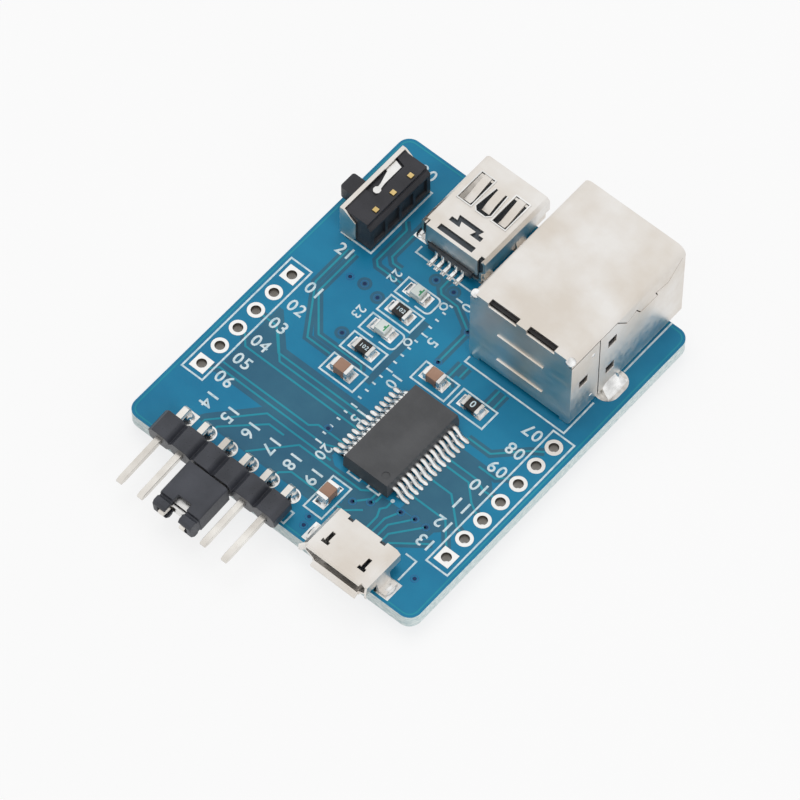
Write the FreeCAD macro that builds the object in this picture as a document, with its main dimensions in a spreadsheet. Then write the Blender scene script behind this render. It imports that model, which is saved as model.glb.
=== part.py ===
import FreeCAD, Part
import math
import os

import Sketcher

# USB to serial adapter module: a bare circuit board with a USB-B, a mini-USB and a micro-USB
# socket, a slide switch, a right-angle pin header with a jumper cap, and the serial chip.
# Units are millimetres. On the board, X runs along its short side, Y along its long side towards
# the USB-B socket, and Z is up from the copper side. The whole part stands on its solder tails.

SIZES = {
    # board
    "board_width": 34.5,
    "board_length": 40.0,
    "board_thickness": 1.6,
    "board_corner": 1.3,
    "tail_reach": 1.2,
    "seat_gap": 0.05,
    "pad_thickness": 0.04,
    "slip": 0.02,
    # rows of plated holes
    "hole_pitch": 2.54,
    "row_inset": 2.01,
    "left_row_y": -5.35,
    "right_row_y": -5.1,
    "hole_bore": 1.0,
    "ring_width": 0.36,
    "solder_slope": 24.0,
    # USB-B socket
    "usb_b_x": 8.8,
    "usb_b_rear": 5.2,
    "usb_b_width": 12.04,
    "usb_b_length": 16.3,
    "usb_b_height": 10.85,
    "usb_b_sheet": 0.3,
    "usb_b_corner": 1.0,
    "usb_b_tab_y": 11.1,
    "usb_b_tab_width": 2.0,
    "usb_b_mouth_width": 8.45,
    "usb_b_mouth_height": 7.78,
    "usb_b_mouth_chamfer": 1.7,
    "usb_b_tongue_width": 5.6,
    "usb_b_tongue_height": 3.2,
    "usb_b_pin_pitch": 2.5,
    "usb_b_pin_rows": 2.0,
    "usb_b_pin_width": 0.7,
    "usb_b_pin_sheet": 0.3,
    "usb_b_slot_width": 3.3,
    "usb_b_slot_space": 1.2,
    "usb_b_wing": 4.0,
    "usb_b_flange": 0.95,
    "usb_b_seam": 0.12,
    # mini-USB socket
    "mini_x": -4.65,
    "mini_rear": 11.7,
    "mini_width": 7.7,
    "mini_length": 9.4,
    "mini_height": 3.95,
    "mini_sheet": 0.25,
    "mini_lead_pitch": 0.8,
    "mini_lead_width": 0.36,
    # micro-USB socket
    "micro_x": 9.0,
    "micro_rear": -16.2,
    "micro_width": 7.5,
    "micro_length": 4.7,
    "micro_height": 2.6,
    "micro_sheet": 0.25,
    "micro_lead_pitch": 0.65,
    "micro_lead_width": 0.3,
    # slide switch
    "switch_x": -13.1,
    "switch_y": 12.1,
    "switch_length": 8.6,
    "switch_width": 3.4,
    "switch_height": 3.9,
    "switch_sheet": 0.2,
    "switch_pin_pitch": 2.5,
    "switch_pin": 0.5,
    "switch_travel": 2.2,
    "knob_width": 2.0,
    "knob_reach": 2.1,
    "knob_height": 1.7,
    # pin header and jumper
    "header_x": -6.0,
    "header_row_inset": 3.0,
    "header_tilt": 6.0,
    "pin_side": 0.64,
    "pin_reach": 5.6,
    "strip_depth": 2.5,
    "strip_overhang": 0.75,
    "strip_height": 2.3,
    "strip_notch": 0.48,
    "strip_notch_depth": 0.6,
    "jumper_width": 4.7,
    "jumper_length": 4.0,
    "jumper_height": 2.44,
    "jumper_ear": 1.25,
    "jumper_ear_width": 1.55,
    "jumper_gap": 0.2,
    # serial chip
    "chip_x": 4.5,
    "chip_y": -6.45,
    "chip_width": 5.3,
    "chip_length": 10.2,
    "chip_height": 1.85,
    "chip_span": 7.8,
    "chip_lead_pitch": 0.65,
    "chip_lead_width": 0.3,
    "chip_lead_sheet": 0.15,
    # small two-ended parts
    "small_length": 2.0,
    "small_width": 1.25,
    "small_end": 0.4,
    "capacitor_height": 1.05,
    "resistor_height": 0.55,
    "led_base": 0.35,
    "led_height": 0.85,
    "column_x": -4.85,
    "led_1_y": 6.97,
    "resistor_1_y": 4.41,
    "led_2_y": 1.89,
    "resistor_2_y": -0.84,
    "capacitor_1_y": -3.87,
    "capacitor_2_x": 2.25,
    "beside_usb_b_y": 0.94,
    "resistor_3_x": 6.82,
    "capacitor_3_x": 2.85,
    "capacitor_3_y": -14.8,
}

LEFT_HOLES = 6
RIGHT_HOLES = 7
LEFT_SQUARES = (0, LEFT_HOLES - 1)
RIGHT_SQUARES = (0,)
HEADER_PINS = 6
JUMPER_PINS = (2, 3)
CHIP_LEADS_PER_SIDE = 14
SOCKET_LEAD_COUNT = 5

document = FreeCAD.newDocument("UsbSerialAdapter")
sheet = document.addObject("Spreadsheet::Sheet", "Sizes")


class Size:
    """A number together with the sheet expression that drives it."""

    def __init__(self, number, text):
        self.number = number
        self.text = text

    def __add__(self, other):
        other = as_size(other)
        return Size(self.number + other.number, f"({self.text} + {other.text})")

    def __sub__(self, other):
        other = as_size(other)
        return Size(self.number - other.number, f"({self.text} - {other.text})")

    def __mul__(self, other):
        other = as_size(other)
        return Size(self.number * other.number, f"({self.text} * {other.text})")

    def __truediv__(self, other):
        other = as_size(other)
        return Size(self.number / other.number, f"({self.text} / {other.text})")

    def __radd__(self, other):
        return as_size(other) + self

    def __rsub__(self, other):
        return as_size(other) - self

    def __rmul__(self, other):
        return as_size(other) * self

    def __neg__(self):
        return Size(-self.number, f"(0 - {self.text})")


def as_size(value):
    if isinstance(value, Size):
        return value
    return Size(float(value), f"({float(value)})")


def cosine(angle):
    return Size(math.cos(math.radians(angle.number)), f"cos({angle.text})")


def sine(angle):
    return Size(math.sin(math.radians(angle.number)), f"sin({angle.text})")


class Named:
    """The driving dimensions by name, each bound to its cell."""


def fill_sheet():
    named = Named()
    for row, (name, number) in enumerate(SIZES.items(), start=1):
        sheet.set(f"A{row}", name)
        sheet.set(f"B{row}", str(number))
        sheet.setAlias(f"B{row}", name)
        setattr(named, name, Size(float(number), f"Sizes.{name}"))
    document.recompute()
    return named


d = fill_sheet()

HALF_WIDTH = d.board_width / 2
HALF_LENGTH = d.board_length / 2
TAIL_END = -d.board_thickness - d.tail_reach
USB_B_FRONT = d.usb_b_rear + d.usb_b_length

# The header, its pins and the jumper lean down together about the board's near top edge.
LEAN_COS = cosine(d.header_tilt)
LEAN_SIN = sine(d.header_tilt)
PIN_LIFT = d.slip + d.strip_height / 2
JUMPER_START = d.strip_overhang + d.jumper_gap
JUMPER_END = JUMPER_START + d.jumper_length + d.jumper_ear
JUMPER_TOP = PIN_LIFT + d.jumper_height / 2
NEAR_REACH = HALF_LENGTH + JUMPER_END * LEAN_COS + JUMPER_TOP * LEAN_SIN
CENTRE_Y = (USB_B_FRONT - NEAR_REACH) / 2

parts = []


def bind(item, path, value):
    item.setExpression(path, as_size(value).text)


def new_body(label, x=0, y=0, z=0):
    """A body with its origin at (x, y) on the board's top face, and z above it."""
    body = document.addObject("PartDesign::Body", label)
    body.Label = label
    body.AllowCompound = True
    bind(body, "Placement.Base.x", x)
    bind(body, "Placement.Base.y", as_size(y) - CENTRE_Y)
    bind(body, "Placement.Base.z", as_size(z) - TAIL_END)
    parts.append(body)
    return body


def origin_item(body, role):
    return next(item for item in body.Origin.OriginFeatures if item.Role == role)


def rectangle(left, low, right, high):
    return [(left, low), (right, low), (right, high), (left, high)]


def trimmed(half, low, high, low_cut, high_cut, middle=0):
    """A rectangle about the middle with its lower and upper corners cut at 45 degrees."""
    left = middle - as_size(half)
    right = middle + as_size(half)
    return [
        (left + low_cut, low),
        (right - low_cut, low),
        (right, low + as_size(low_cut)),
        (right, high - as_size(high_cut)),
        (right - high_cut, high),
        (left + high_cut, high),
        (left, high - as_size(high_cut)),
        (left, low + as_size(low_cut)),
    ]


def pad_at(x, y, half_x, half_y):
    x = as_size(x)
    y = as_size(y)
    return rectangle(x - half_x, y - half_y, x + half_x, y + half_y)


def slit(line, half_width):
    """Outline of a narrow cut that follows a line of points, square to each stretch."""
    flat = [(as_size(x).number, as_size(y).number) for x, y in line]
    ways = []
    for (x1, y1), (x2, y2) in zip(flat, flat[1:]):
        length = math.hypot(x2 - x1, y2 - y1)
        ways.append(((x2 - x1) / length, (y2 - y1) / length))
    left = []
    right = []
    for i, (x, y) in enumerate(line):
        before = ways[max(i - 1, 0)]
        after = ways[min(i, len(ways) - 1)]
        share = 1 + before[0] * after[0] + before[1] * after[1]
        step_x = -(before[1] + after[1]) / share
        step_y = (before[0] + after[0]) / share
        left.append((as_size(x) + half_width * step_x, as_size(y) + half_width * step_y))
        right.append((as_size(x) - half_width * step_x, as_size(y) - half_width * step_y))
    return left + right[::-1]


class Disc:
    def __init__(self, x, y, radius):
        self.x = x
        self.y = y
        self.radius = radius


def square(x, y, half):
    return pad_at(x, y, half, half)


def row_outlines(x, row, squares, reach):
    """Pads of a row of holes: round, apart from the square ones that mark its ends."""
    return [square(x, y, reach) if i in squares else Disc(x, y, reach) for i, y in enumerate(row)]


class Drawing:
    """Collects a sketch's geometry and driven dimensions, so that it is solved only once."""

    def __init__(self, sketch):
        self.sketch = sketch
        self.geometry = []
        self.constraints = []
        self.driven = []

    def drive(self, constraint, value):
        if "Sizes." in value.text:
            self.driven.append((len(self.constraints), value.text))
        self.constraints.append(constraint)

    def pin_point(self, edge, point, x, y):
        self.drive(Sketcher.Constraint("DistanceX", -1, 1, edge, point, x.number), x)
        self.drive(Sketcher.Constraint("DistanceY", -1, 1, edge, point, y.number), y)

    def disc(self, disc):
        x = as_size(disc.x)
        y = as_size(disc.y)
        radius = as_size(disc.radius)
        edge = len(self.geometry)
        centre = FreeCAD.Vector(x.number, y.number, 0)
        self.geometry.append(Part.Circle(centre, FreeCAD.Vector(0, 0, 1), radius.number))
        self.pin_point(edge, 3, x, y)
        self.drive(Sketcher.Constraint("Radius", edge, radius.number), radius)

    def outline(self, corners):
        corners = [(as_size(x), as_size(y)) for x, y in corners]
        first = len(self.geometry)
        count = len(corners)
        points = [FreeCAD.Vector(x.number, y.number, 0) for x, y in corners]
        for i in range(count):
            after = (i + 1) % count
            self.geometry.append(Part.LineSegment(points[i], points[after]))
            self.constraints.append(
                Sketcher.Constraint("Coincident", first + i, 2, first + after, 1)
            )
        for i, (x, y) in enumerate(corners):
            self.pin_point(first + i, 1, x, y)

    def finish(self):
        self.sketch.addGeometry(self.geometry, False)
        self.sketch.addConstraint(self.constraints)
        for index, text in self.driven:
            self.sketch.setExpression(f"Constraints[{index}]", text)


def sketch_on(body, role, offset, outlines):
    sketch = body.newObject("Sketcher::SketchObject", body.Label + "_sketch")
    sketch.AttachmentSupport = [(origin_item(body, role), "")]
    sketch.MapMode = "FlatFace"
    bind(sketch, "AttachmentOffset.Base.z", offset)
    drawing = Drawing(sketch)
    for outline in outlines:
        if isinstance(outline, Disc):
            drawing.disc(outline)
        else:
            drawing.outline(outline)
    drawing.finish()
    return sketch


# A sketch on the XZ plane faces towards -Y, so its offset counts the other way.
FACES_BACK = {"XY_Plane": False, "XZ_Plane": True, "YZ_Plane": False}


def add(body, role, low, high, *outlines, taper=0):
    """Pads the outlines from low to high along the plane's axis."""
    low = as_size(low)
    high = as_size(high)
    offset = -high if FACES_BACK[role] else low
    pad = body.newObject("PartDesign::Pad", body.Label + "_pad")
    pad.Profile = sketch_on(body, role, offset, outlines)
    bind(pad, "Length", high - low)
    pad.TaperAngle = taper
    return pad


def cut(body, role, low, high, *outlines):
    """Pockets the outlines from low to high along the plane's axis."""
    low = as_size(low)
    high = as_size(high)
    offset = -low if FACES_BACK[role] else high
    pocket = body.newObject("PartDesign::Pocket", body.Label + "_pocket")
    pocket.Profile = sketch_on(body, role, offset, outlines)
    bind(pocket, "Length", high - low)
    return pocket


def edges_where(shape, wanted):
    return [f"Edge{i + 1}" for i, edge in enumerate(shape.Edges) if wanted(edge)]


def runs_along(edge, axis):
    """True for a straight edge along the axis, given as 0, 1 or 2."""
    if len(edge.Vertexes) != 2 or edge.Curve.TypeId != "Part::GeomLine":
        return False
    change = edge.Vertexes[1].Point - edge.Vertexes[0].Point
    return all(abs(change[other]) < 1e-6 for other in range(3) if other != axis)


def round_edges(body, radius, wanted):
    """Fillets the body's latest edges that pass the test, which reads local coordinates."""
    document.recompute()
    base = body.Tip
    names = edges_where(base.Shape, wanted)
    if not names:
        raise RuntimeError(f"{body.Label}: no edge to round")
    fillet = body.newObject("PartDesign::Fillet", body.Label + "_fillet")
    fillet.Base = (base, names)
    bind(fillet, "Radius", radius)
    return fillet


def repeat(body, feature, pitch, count):
    """Repeats a feature along the body's Y axis."""
    row = body.newObject("PartDesign::LinearPattern", body.Label + "_row")
    row.Originals = [feature]
    row.Direction = (origin_item(body, "Y_Axis"), [""])
    bind(row, "Length", pitch * (count - 1))
    row.Occurrences = count
    body.Tip = row
    return row


def near(value, target):
    return abs(value - as_size(target).number) < 1e-4


def centred_row(count, pitch, middle=0):
    return [middle + pitch * (i - (count - 1) / 2) for i in range(count)]


LEFT_ROW_X = d.row_inset - HALF_WIDTH
RIGHT_ROW_X = HALF_WIDTH - d.row_inset
LEFT_ROW = centred_row(LEFT_HOLES, d.hole_pitch, d.left_row_y)
RIGHT_ROW = centred_row(RIGHT_HOLES, d.hole_pitch, d.right_row_y)
HEADER_ROW = centred_row(HEADER_PINS, d.hole_pitch, d.header_x)
HEADER_ROW_Y = d.header_row_inset - HALF_LENGTH
RING = d.hole_bore / 2 + d.ring_width

# Through-hole places of the USB-B socket, counted from its own middle line.
USB_B_TAB_X = d.usb_b_width / 2 - d.usb_b_sheet / 2
USB_B_TAB_HOLE = d.usb_b_tab_width / 2 + 0.15
USB_B_NEAR_PINS = d.usb_b_tab_y - 2.71
USB_B_FAR_PINS = USB_B_NEAR_PINS - d.usb_b_pin_rows
USB_B_PIN_HOLE = d.usb_b_pin_width / 2 + 0.12

# Terminal and leg places of the switch, counted from its own middle.
SWITCH_PIN_X = d.switch_width / 2 - 0.93
SWITCH_PINS = centred_row(3, d.switch_pin_pitch)
SWITCH_PIN_HOLE = d.switch_pin * 0.5 + 0.16
SWITCH_LEG_X = -d.switch_width / 2 + 0.9
SWITCH_LEG_Y = d.switch_length / 2 + d.switch_sheet / 2 + d.slip


def octagon(x, y, reach):
    corners = [math.radians(22.5 + 45 * i) for i in range(8)]
    return [(x + reach * math.cos(angle), y + reach * math.sin(angle)) for angle in corners]


def lead_hole(x, y, radius):
    """Eight flat sides that touch the drilled circle from outside."""
    return octagon(x, y, radius / math.cos(math.radians(22.5)))


def circuit_board():
    """Glass-fibre board, drilled for everything that passes through it."""
    body = new_body("circuit_board")
    outline = rectangle(-HALF_WIDTH, -HALF_LENGTH, HALF_WIDTH, HALF_LENGTH)
    add(body, "XY_Plane", -d.board_thickness, 0, outline)
    round_edges(body, d.board_corner, lambda edge: runs_along(edge, 2))
    drill = RING + d.slip / 2
    rows = row_outlines(LEFT_ROW_X, LEFT_ROW, LEFT_SQUARES, drill)
    rows += row_outlines(RIGHT_ROW_X, RIGHT_ROW, RIGHT_SQUARES, drill)
    cut(body, "XY_Plane", -d.board_thickness, 0, *rows)
    # lead holes that solder covers are drawn with eight flat sides
    holes = [lead_hole(x, HEADER_ROW_Y, d.hole_bore / 2) for x in HEADER_ROW]
    slots = []
    for side in (-1, 1):
        tab_x = d.usb_b_x + USB_B_TAB_X * side
        slots.append(pad_at(tab_x, d.usb_b_tab_y, d.usb_b_sheet / 2 + 0.2, USB_B_TAB_HOLE))
        pin_x = d.usb_b_x + d.usb_b_pin_pitch / 2 * side
        holes.append(lead_hole(pin_x, USB_B_NEAR_PINS, USB_B_PIN_HOLE))
        holes.append(lead_hole(pin_x, USB_B_FAR_PINS, USB_B_PIN_HOLE))
        leg_x = d.switch_x + SWITCH_LEG_X
        leg_y = d.switch_y + SWITCH_LEG_Y * side
        slots.append(pad_at(leg_x, leg_y, as_size(0.45), d.switch_sheet / 2 + 0.15))
    for y in SWITCH_PINS:
        holes.append(lead_hole(d.switch_x + SWITCH_PIN_X, d.switch_y + y, SWITCH_PIN_HOLE))
    cut(body, "XY_Plane", -d.board_thickness, 0, *holes)
    cut(body, "XY_Plane", -d.board_thickness, 0, *slots)


def plated_row(label, x, row, squares):
    """One tinned lining per hole, each a plain tube as wide as the pad that it ends in."""
    body = new_body(label)
    low = -d.board_thickness - d.pad_thickness
    add(body, "XY_Plane", low, d.pad_thickness, *row_outlines(x, row, squares, RING))
    bores = [Disc(x, y, d.hole_bore / 2) for y in row]
    cut(body, "XY_Plane", low, d.pad_thickness, *bores)


def solder(body, joints, low, high, slope):
    """Tapered joints between two heights, each given as x, y, half_x, half_y and reach."""
    outlines = [octagon(x, y, reach) for x, y, half_x, half_y, reach in joints]
    pad = add(body, "XY_Plane", low, high, *outlines)
    bind(pad, "TaperAngle", slope)
    room = d.slip / 2
    leads = [pad_at(x, y, half_x + room, half_y + room) for x, y, half_x, half_y, reach in joints]
    cut(body, "XY_Plane", low, high, *leads)


def usb_b_mouth(extra=0):
    """The socket's opening: square below, with both upper corners cut off."""
    middle = d.seat_gap + d.usb_b_height / 2
    half_height = d.usb_b_mouth_height / 2 + extra
    half_width = d.usb_b_mouth_width / 2 + extra
    return trimmed(
        half_width, middle - half_height, middle + half_height, 0.2, d.usb_b_mouth_chamfer
    )


USB_B_TOP = d.seat_gap + d.usb_b_height
USB_B_MIDDLE = d.seat_gap + d.usb_b_height / 2
USB_B_HALF = d.usb_b_width / 2


def usb_b_cavity(clear=0):
    """Inside of the folded sheet, drawn smaller by the clearance."""
    wall = d.usb_b_sheet + clear
    return trimmed(
        USB_B_HALF - wall,
        d.seat_gap + wall,
        USB_B_TOP - wall,
        d.usb_b_corner * 0.4,
        d.usb_b_corner * 0.6,
    )


def usb_b_side_seam():
    """Joint between the top's folded flange and the side wall, with its dovetail tongue."""
    level = USB_B_TOP - d.usb_b_flange
    front = d.usb_b_length
    line = [
        (-0.1, level),
        (6.5, level),
        (8.0, level - 1.8),
        (9.3, level - 1.2),
        (9.9, level - 2.2),
        (12.4, level - 2.3),
        (12.1, level - 1.6),
        (13.9, level - 1.9),
        (front - d.usb_b_sheet - 0.1, level - 0.1),
    ]
    return [(as_size(y) + d.usb_b_rear, z) for y, z in slit(line, d.usb_b_seam / 2)]


def usb_b_shell():
    """One sheet folded into a box: top, sides, bottom, front frame and a wrapped rear cover."""
    body = new_body("usb_b_shell", d.usb_b_x)
    rear = d.usb_b_rear
    front = USB_B_FRONT
    sheet_in = d.usb_b_sheet
    add(body, "XZ_Plane", rear, front, rectangle(-USB_B_HALF, d.seat_gap, USB_B_HALF, USB_B_TOP))
    round_edges(
        body,
        d.usb_b_corner,
        lambda edge: runs_along(edge, 1) and near(edge.CenterOfMass.z, USB_B_TOP),
    )
    round_edges(
        body,
        d.usb_b_corner * 0.6,
        lambda edge: runs_along(edge, 1) and near(edge.CenterOfMass.z, d.seat_gap),
    )
    cut(body, "XZ_Plane", rear + sheet_in, front - sheet_in, usb_b_cavity())
    cut(body, "XZ_Plane", front - sheet_in - 0.1, front + 0.1, usb_b_mouth())
    # slots over the rear bend, and the open floor round the contact tails
    half_space = d.usb_b_slot_space / 2
    slots = []
    for side in (-1, 1):
        inner = half_space * side
        outer = (half_space + d.usb_b_slot_width) * side
        left, right = (inner, outer) if side > 0 else (outer, inner)
        slots.append(rectangle(left, rear - 0.1, right, rear + 0.65))
    cut(body, "XY_Plane", USB_B_TOP - 0.6, USB_B_TOP + 0.1, *slots)
    floor = rectangle(-USB_B_HALF + 1.2, rear - 0.1, USB_B_HALF - 1.2, rear + 7)
    cut(body, "XY_Plane", d.seat_gap - 0.1, d.seat_gap + sheet_in + 0.1, floor)
    # seams, latch windows and the edge of the wrapped wings, through both sides
    seam_y = rear + d.usb_b_wing
    seam_top = USB_B_TOP - d.usb_b_flange
    wing_edge = rectangle(seam_y, d.seat_gap - 0.1, seam_y + d.usb_b_seam, seam_top)
    windows = [
        rectangle(rear + 5.3, 7.0, rear + 6.5, 8.2),
        rectangle(rear + 5.1, 2.7, rear + 6.3, 3.9),
        rectangle(rear + 1.2, 5.0, rear + 2.4, 6.2),
    ]
    for side in (-1, 1):
        outer = (USB_B_HALF + 0.1) * side
        inner = (USB_B_HALF - sheet_in - 0.05) * side
        low, high = (inner, outer) if side > 0 else (outer, inner)
        cut(body, "YZ_Plane", low, high, usb_b_side_seam())
        cut(body, "YZ_Plane", low, high, wing_edge)
        cut(body, "YZ_Plane", low, high, *windows)
    # ribs pressed out of the rear cover
    ribs = [rectangle(-2.7, level, 2.7, level + 0.28) for level in (2.3, 6.5)]
    add(body, "XZ_Plane", rear - 0.14, rear + 0.05, *ribs)
    # spring lips turned in round the mouth
    lip_root = front - sheet_in
    lip_end = lip_root - 3
    half_mouth = d.usb_b_mouth_width / 2
    mouth_top = USB_B_MIDDLE + d.usb_b_mouth_height / 2
    mouth_low = USB_B_MIDDLE - d.usb_b_mouth_height / 2
    lip = 0.25
    lips = [
        rectangle(half_mouth, USB_B_MIDDLE - 2.2, half_mouth + lip, USB_B_MIDDLE + 1.2),
        rectangle(-half_mouth - lip, USB_B_MIDDLE - 2.2, -half_mouth, USB_B_MIDDLE + 1.2),
        rectangle(-1.7, mouth_top, 1.7, mouth_top + lip),
        rectangle(-2.2, mouth_low - lip, 2.2, mouth_low),
    ]
    add(body, "XZ_Plane", lip_end, lip_root + 0.05, *lips)
    # solder tabs
    half_tab = d.usb_b_tab_width / 2
    tab = [
        (d.usb_b_tab_y - half_tab, d.seat_gap + 1),
        (d.usb_b_tab_y - half_tab, TAIL_END + 0.6),
        (d.usb_b_tab_y - half_tab * 0.5, TAIL_END),
        (d.usb_b_tab_y + half_tab * 0.5, TAIL_END),
        (d.usb_b_tab_y + half_tab, TAIL_END + 0.6),
        (d.usb_b_tab_y + half_tab, d.seat_gap + 1),
    ]
    add(body, "YZ_Plane", USB_B_HALF - sheet_in, USB_B_HALF, tab)
    add(body, "YZ_Plane", -USB_B_HALF, -USB_B_HALF + sheet_in, tab)


USB_B_BLOCK_FRONT = d.usb_b_rear + 7.4
USB_B_TONGUE_TIP = USB_B_FRONT - 1.3
USB_B_LINER_CLEAR = 0.36


def usb_b_contact_outline(upper, clear=0):
    """Side view of one contact: a blade along the tongue and a tail down through the board."""
    half = d.usb_b_tongue_height / 2
    pin_sheet = d.usb_b_pin_sheet
    tail = (USB_B_FAR_PINS if upper else USB_B_NEAR_PINS) - pin_sheet / 2
    blade = USB_B_MIDDLE + half - pin_sheet if upper else USB_B_MIDDLE - half
    tip = USB_B_TONGUE_TIP - 0.7
    return [
        (tail - clear, TAIL_END),
        (tail + pin_sheet + clear, TAIL_END),
        (tail + pin_sheet + clear, blade - clear),
        (tip, blade - clear),
        (tip, blade + pin_sheet + clear),
        (tail - clear, blade + pin_sheet + clear),
    ]


def usb_b_insulator():
    """Moulded block with the liner round the mouth, the tongue and four contact channels."""
    body = new_body("usb_b_insulator", d.usb_b_x)
    clear = d.seat_gap
    rear = d.usb_b_rear + d.usb_b_sheet + clear
    front = USB_B_FRONT - d.usb_b_sheet - clear
    add(body, "XZ_Plane", rear, front, usb_b_cavity(clear))
    cut(body, "XZ_Plane", USB_B_BLOCK_FRONT, front + 0.1, usb_b_mouth(USB_B_LINER_CLEAR))
    half_w = d.usb_b_tongue_width / 2
    half_h = d.usb_b_tongue_height / 2
    tongue = trimmed(half_w, USB_B_MIDDLE - half_h, USB_B_MIDDLE + half_h, 0.3, 0.3)
    add(body, "XZ_Plane", USB_B_BLOCK_FRONT - 0.1, USB_B_TONGUE_TIP, tongue)
    half = d.usb_b_pin_width / 2 + d.slip
    for side in (-1, 1):
        x = d.usb_b_pin_pitch / 2 * side
        for upper in (True, False):
            channel = usb_b_contact_outline(upper, d.slip)
            cut(body, "YZ_Plane", x - half, x + half, channel)


def usb_b_contact(number, side, upper):
    body = new_body(f"usb_b_contact_{number}", d.usb_b_x + d.usb_b_pin_pitch / 2 * side)
    half = d.usb_b_pin_width / 2
    add(body, "YZ_Plane", -half, half, usb_b_contact_outline(upper))


MINI_TOP = d.seat_gap + d.mini_height
MINI_HALF = d.mini_width / 2
MINI_FRONT = d.mini_rear + d.mini_length
MINI_STEP = 0.45


def mini_profile(inset):
    """Mouth shape of the mini socket: full width above, stepped in below."""
    half = MINI_HALF - inset
    lower = MINI_HALF - MINI_STEP - inset
    low = d.seat_gap + inset
    top = MINI_TOP - inset
    right = [
        (lower - 0.3, low),
        (lower, low + 0.3),
        (lower, MINI_TOP - 2.3),
        (half, MINI_TOP - 1.8),
        (half, top - 0.35),
        (half - 0.35, top),
    ]
    return right + [(-x, z) for x, z in reversed(right)]


MINI_LEAD_LEVEL = d.seat_gap + 0.95
MINI_COVER_LOW = MINI_LEAD_LEVEL + 0.45


def mini_usb_shell():
    """Folded sheet with two spring arms, a curved tongue and the dovetail joint on top."""
    body = new_body("mini_usb_shell", d.mini_x)
    rear = d.mini_rear
    front = MINI_FRONT
    gauge = d.mini_sheet
    add(body, "XZ_Plane", rear, front, mini_profile(0))
    cut(body, "XZ_Plane", rear - 0.1, front + 0.1, mini_profile(gauge))
    # openings in the top: spring windows, tongue window, dovetail joint, rear slot, corner holes
    arms = [(-2.08, 0.82), (2.08, 0.82)]
    window_low = front - 5.4
    window_high = front - 1.8
    openings = [
        rectangle(x - half, window_low, x + half, window_high) for x, half in arms
    ]
    tongue_low = front - 5.5
    tongue_high = front - 2.4
    openings.append(
        [
            (-0.7, tongue_high),
            (-0.95, tongue_low + 0.5),
            (-0.5, tongue_low),
            (0.6, tongue_low),
            (0.98, tongue_low + 0.5),
            (0.75, tongue_high),
        ]
    )
    openings.append(rectangle(-2.1, rear + 0.1, 2.1, rear + 0.75))
    openings.append(square(-MINI_HALF + 0.55, rear + 0.2, 0.22))
    openings.append(square(MINI_HALF - 0.55, rear + 0.2, 0.22))
    joint_low = rear + 1.5
    joint_high = rear + 2.6
    band = 0.5
    openings.append(
        [
            (-1.85, joint_low),
            (-0.55, joint_low),
            (-0.8, joint_high - band),
            (0.95, joint_high - band),
            (0.7, joint_low),
            (1.95, joint_low),
            (1.95, joint_low + band),
            (1.35, joint_low + band),
            (1.55, joint_high),
            (-1.4, joint_high),
            (-1.2, joint_low + band),
            (-1.85, joint_low + band),
        ]
    )
    cut(body, "XY_Plane", MINI_TOP - gauge - 0.1, MINI_TOP + 0.1, *openings)
    # spring arms and tongue, bent down into the mouth from their front roots
    arm = [
        (window_high + 0.1, MINI_TOP - gauge),
        (window_high + 0.1, MINI_TOP),
        (window_high - 0.3, MINI_TOP),
        (window_low + 0.9, MINI_TOP - 0.62),
        (window_low + 0.4, MINI_TOP - 0.5),
        (window_low + 0.4, MINI_TOP - 0.7),
        (window_low + 0.9, MINI_TOP - 0.82),
        (window_high - 0.3, MINI_TOP - gauge),
    ]
    for x, half in arms:
        add(body, "YZ_Plane", x - half * 0.5, x + half * 0.5, arm)
    tongue = [
        (tongue_high + 0.1, MINI_TOP - gauge),
        (tongue_high + 0.1, MINI_TOP),
        (tongue_high - 0.4, MINI_TOP),
        (tongue_high - 1.5, MINI_TOP - 0.18),
        (tongue_low + 0.7, MINI_TOP - 0.55),
        (tongue_low + 0.7, MINI_TOP - 0.8),
        (tongue_high - 1.5, MINI_TOP - 0.43),
        (tongue_high - 0.4, MINI_TOP - gauge),
    ]
    add(body, "YZ_Plane", -0.45, 0.45, tongue)
    # rear cover, folded down behind the block
    half_cover = MINI_HALF - 0.75
    cover = rectangle(-half_cover, MINI_COVER_LOW, half_cover, MINI_TOP)
    add(body, "XZ_Plane", rear - gauge, rear + 0.02, cover)
    # feet folded out onto the board
    low_half = MINI_HALF - MINI_STEP
    for side in (-1, 1):
        foot = [
            (low_half - gauge, d.seat_gap + 1.2),
            (low_half, d.seat_gap + 1.2),
            (low_half + 0.25, d.seat_gap + 0.25),
            (low_half + 1.1, d.seat_gap + 0.25),
            (low_half + 1.1, d.seat_gap),
            (low_half, d.seat_gap),
            (low_half - gauge, d.seat_gap + 0.4),
        ]
        foot = [(x * side, z) for x, z in foot]
        add(body, "XZ_Plane", rear + 0.3, rear + 1.5, foot)
        add(body, "XZ_Plane", front - 4.4, front - 3.0, foot)


def mini_contact_outline(clear=0):
    """Foot on the board, a riser behind the block and a blade under the tongue."""
    thick = 0.2
    rear = d.mini_rear - 0.55
    blade = MINI_LEAD_LEVEL
    foot = d.pad_thickness
    return [
        (rear - 0.75, foot),
        (rear, foot),
        (rear + thick, foot + 0.15),
        (rear + thick, blade - clear),
        (MINI_FRONT - 1.6, blade - clear),
        (MINI_FRONT - 1.6, blade + thick + clear),
        (rear + 0.1, blade + thick + clear),
        (rear, blade + thick - 0.1),
        (rear, foot + thick),
        (rear - 0.75, foot + thick),
    ]


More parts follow.
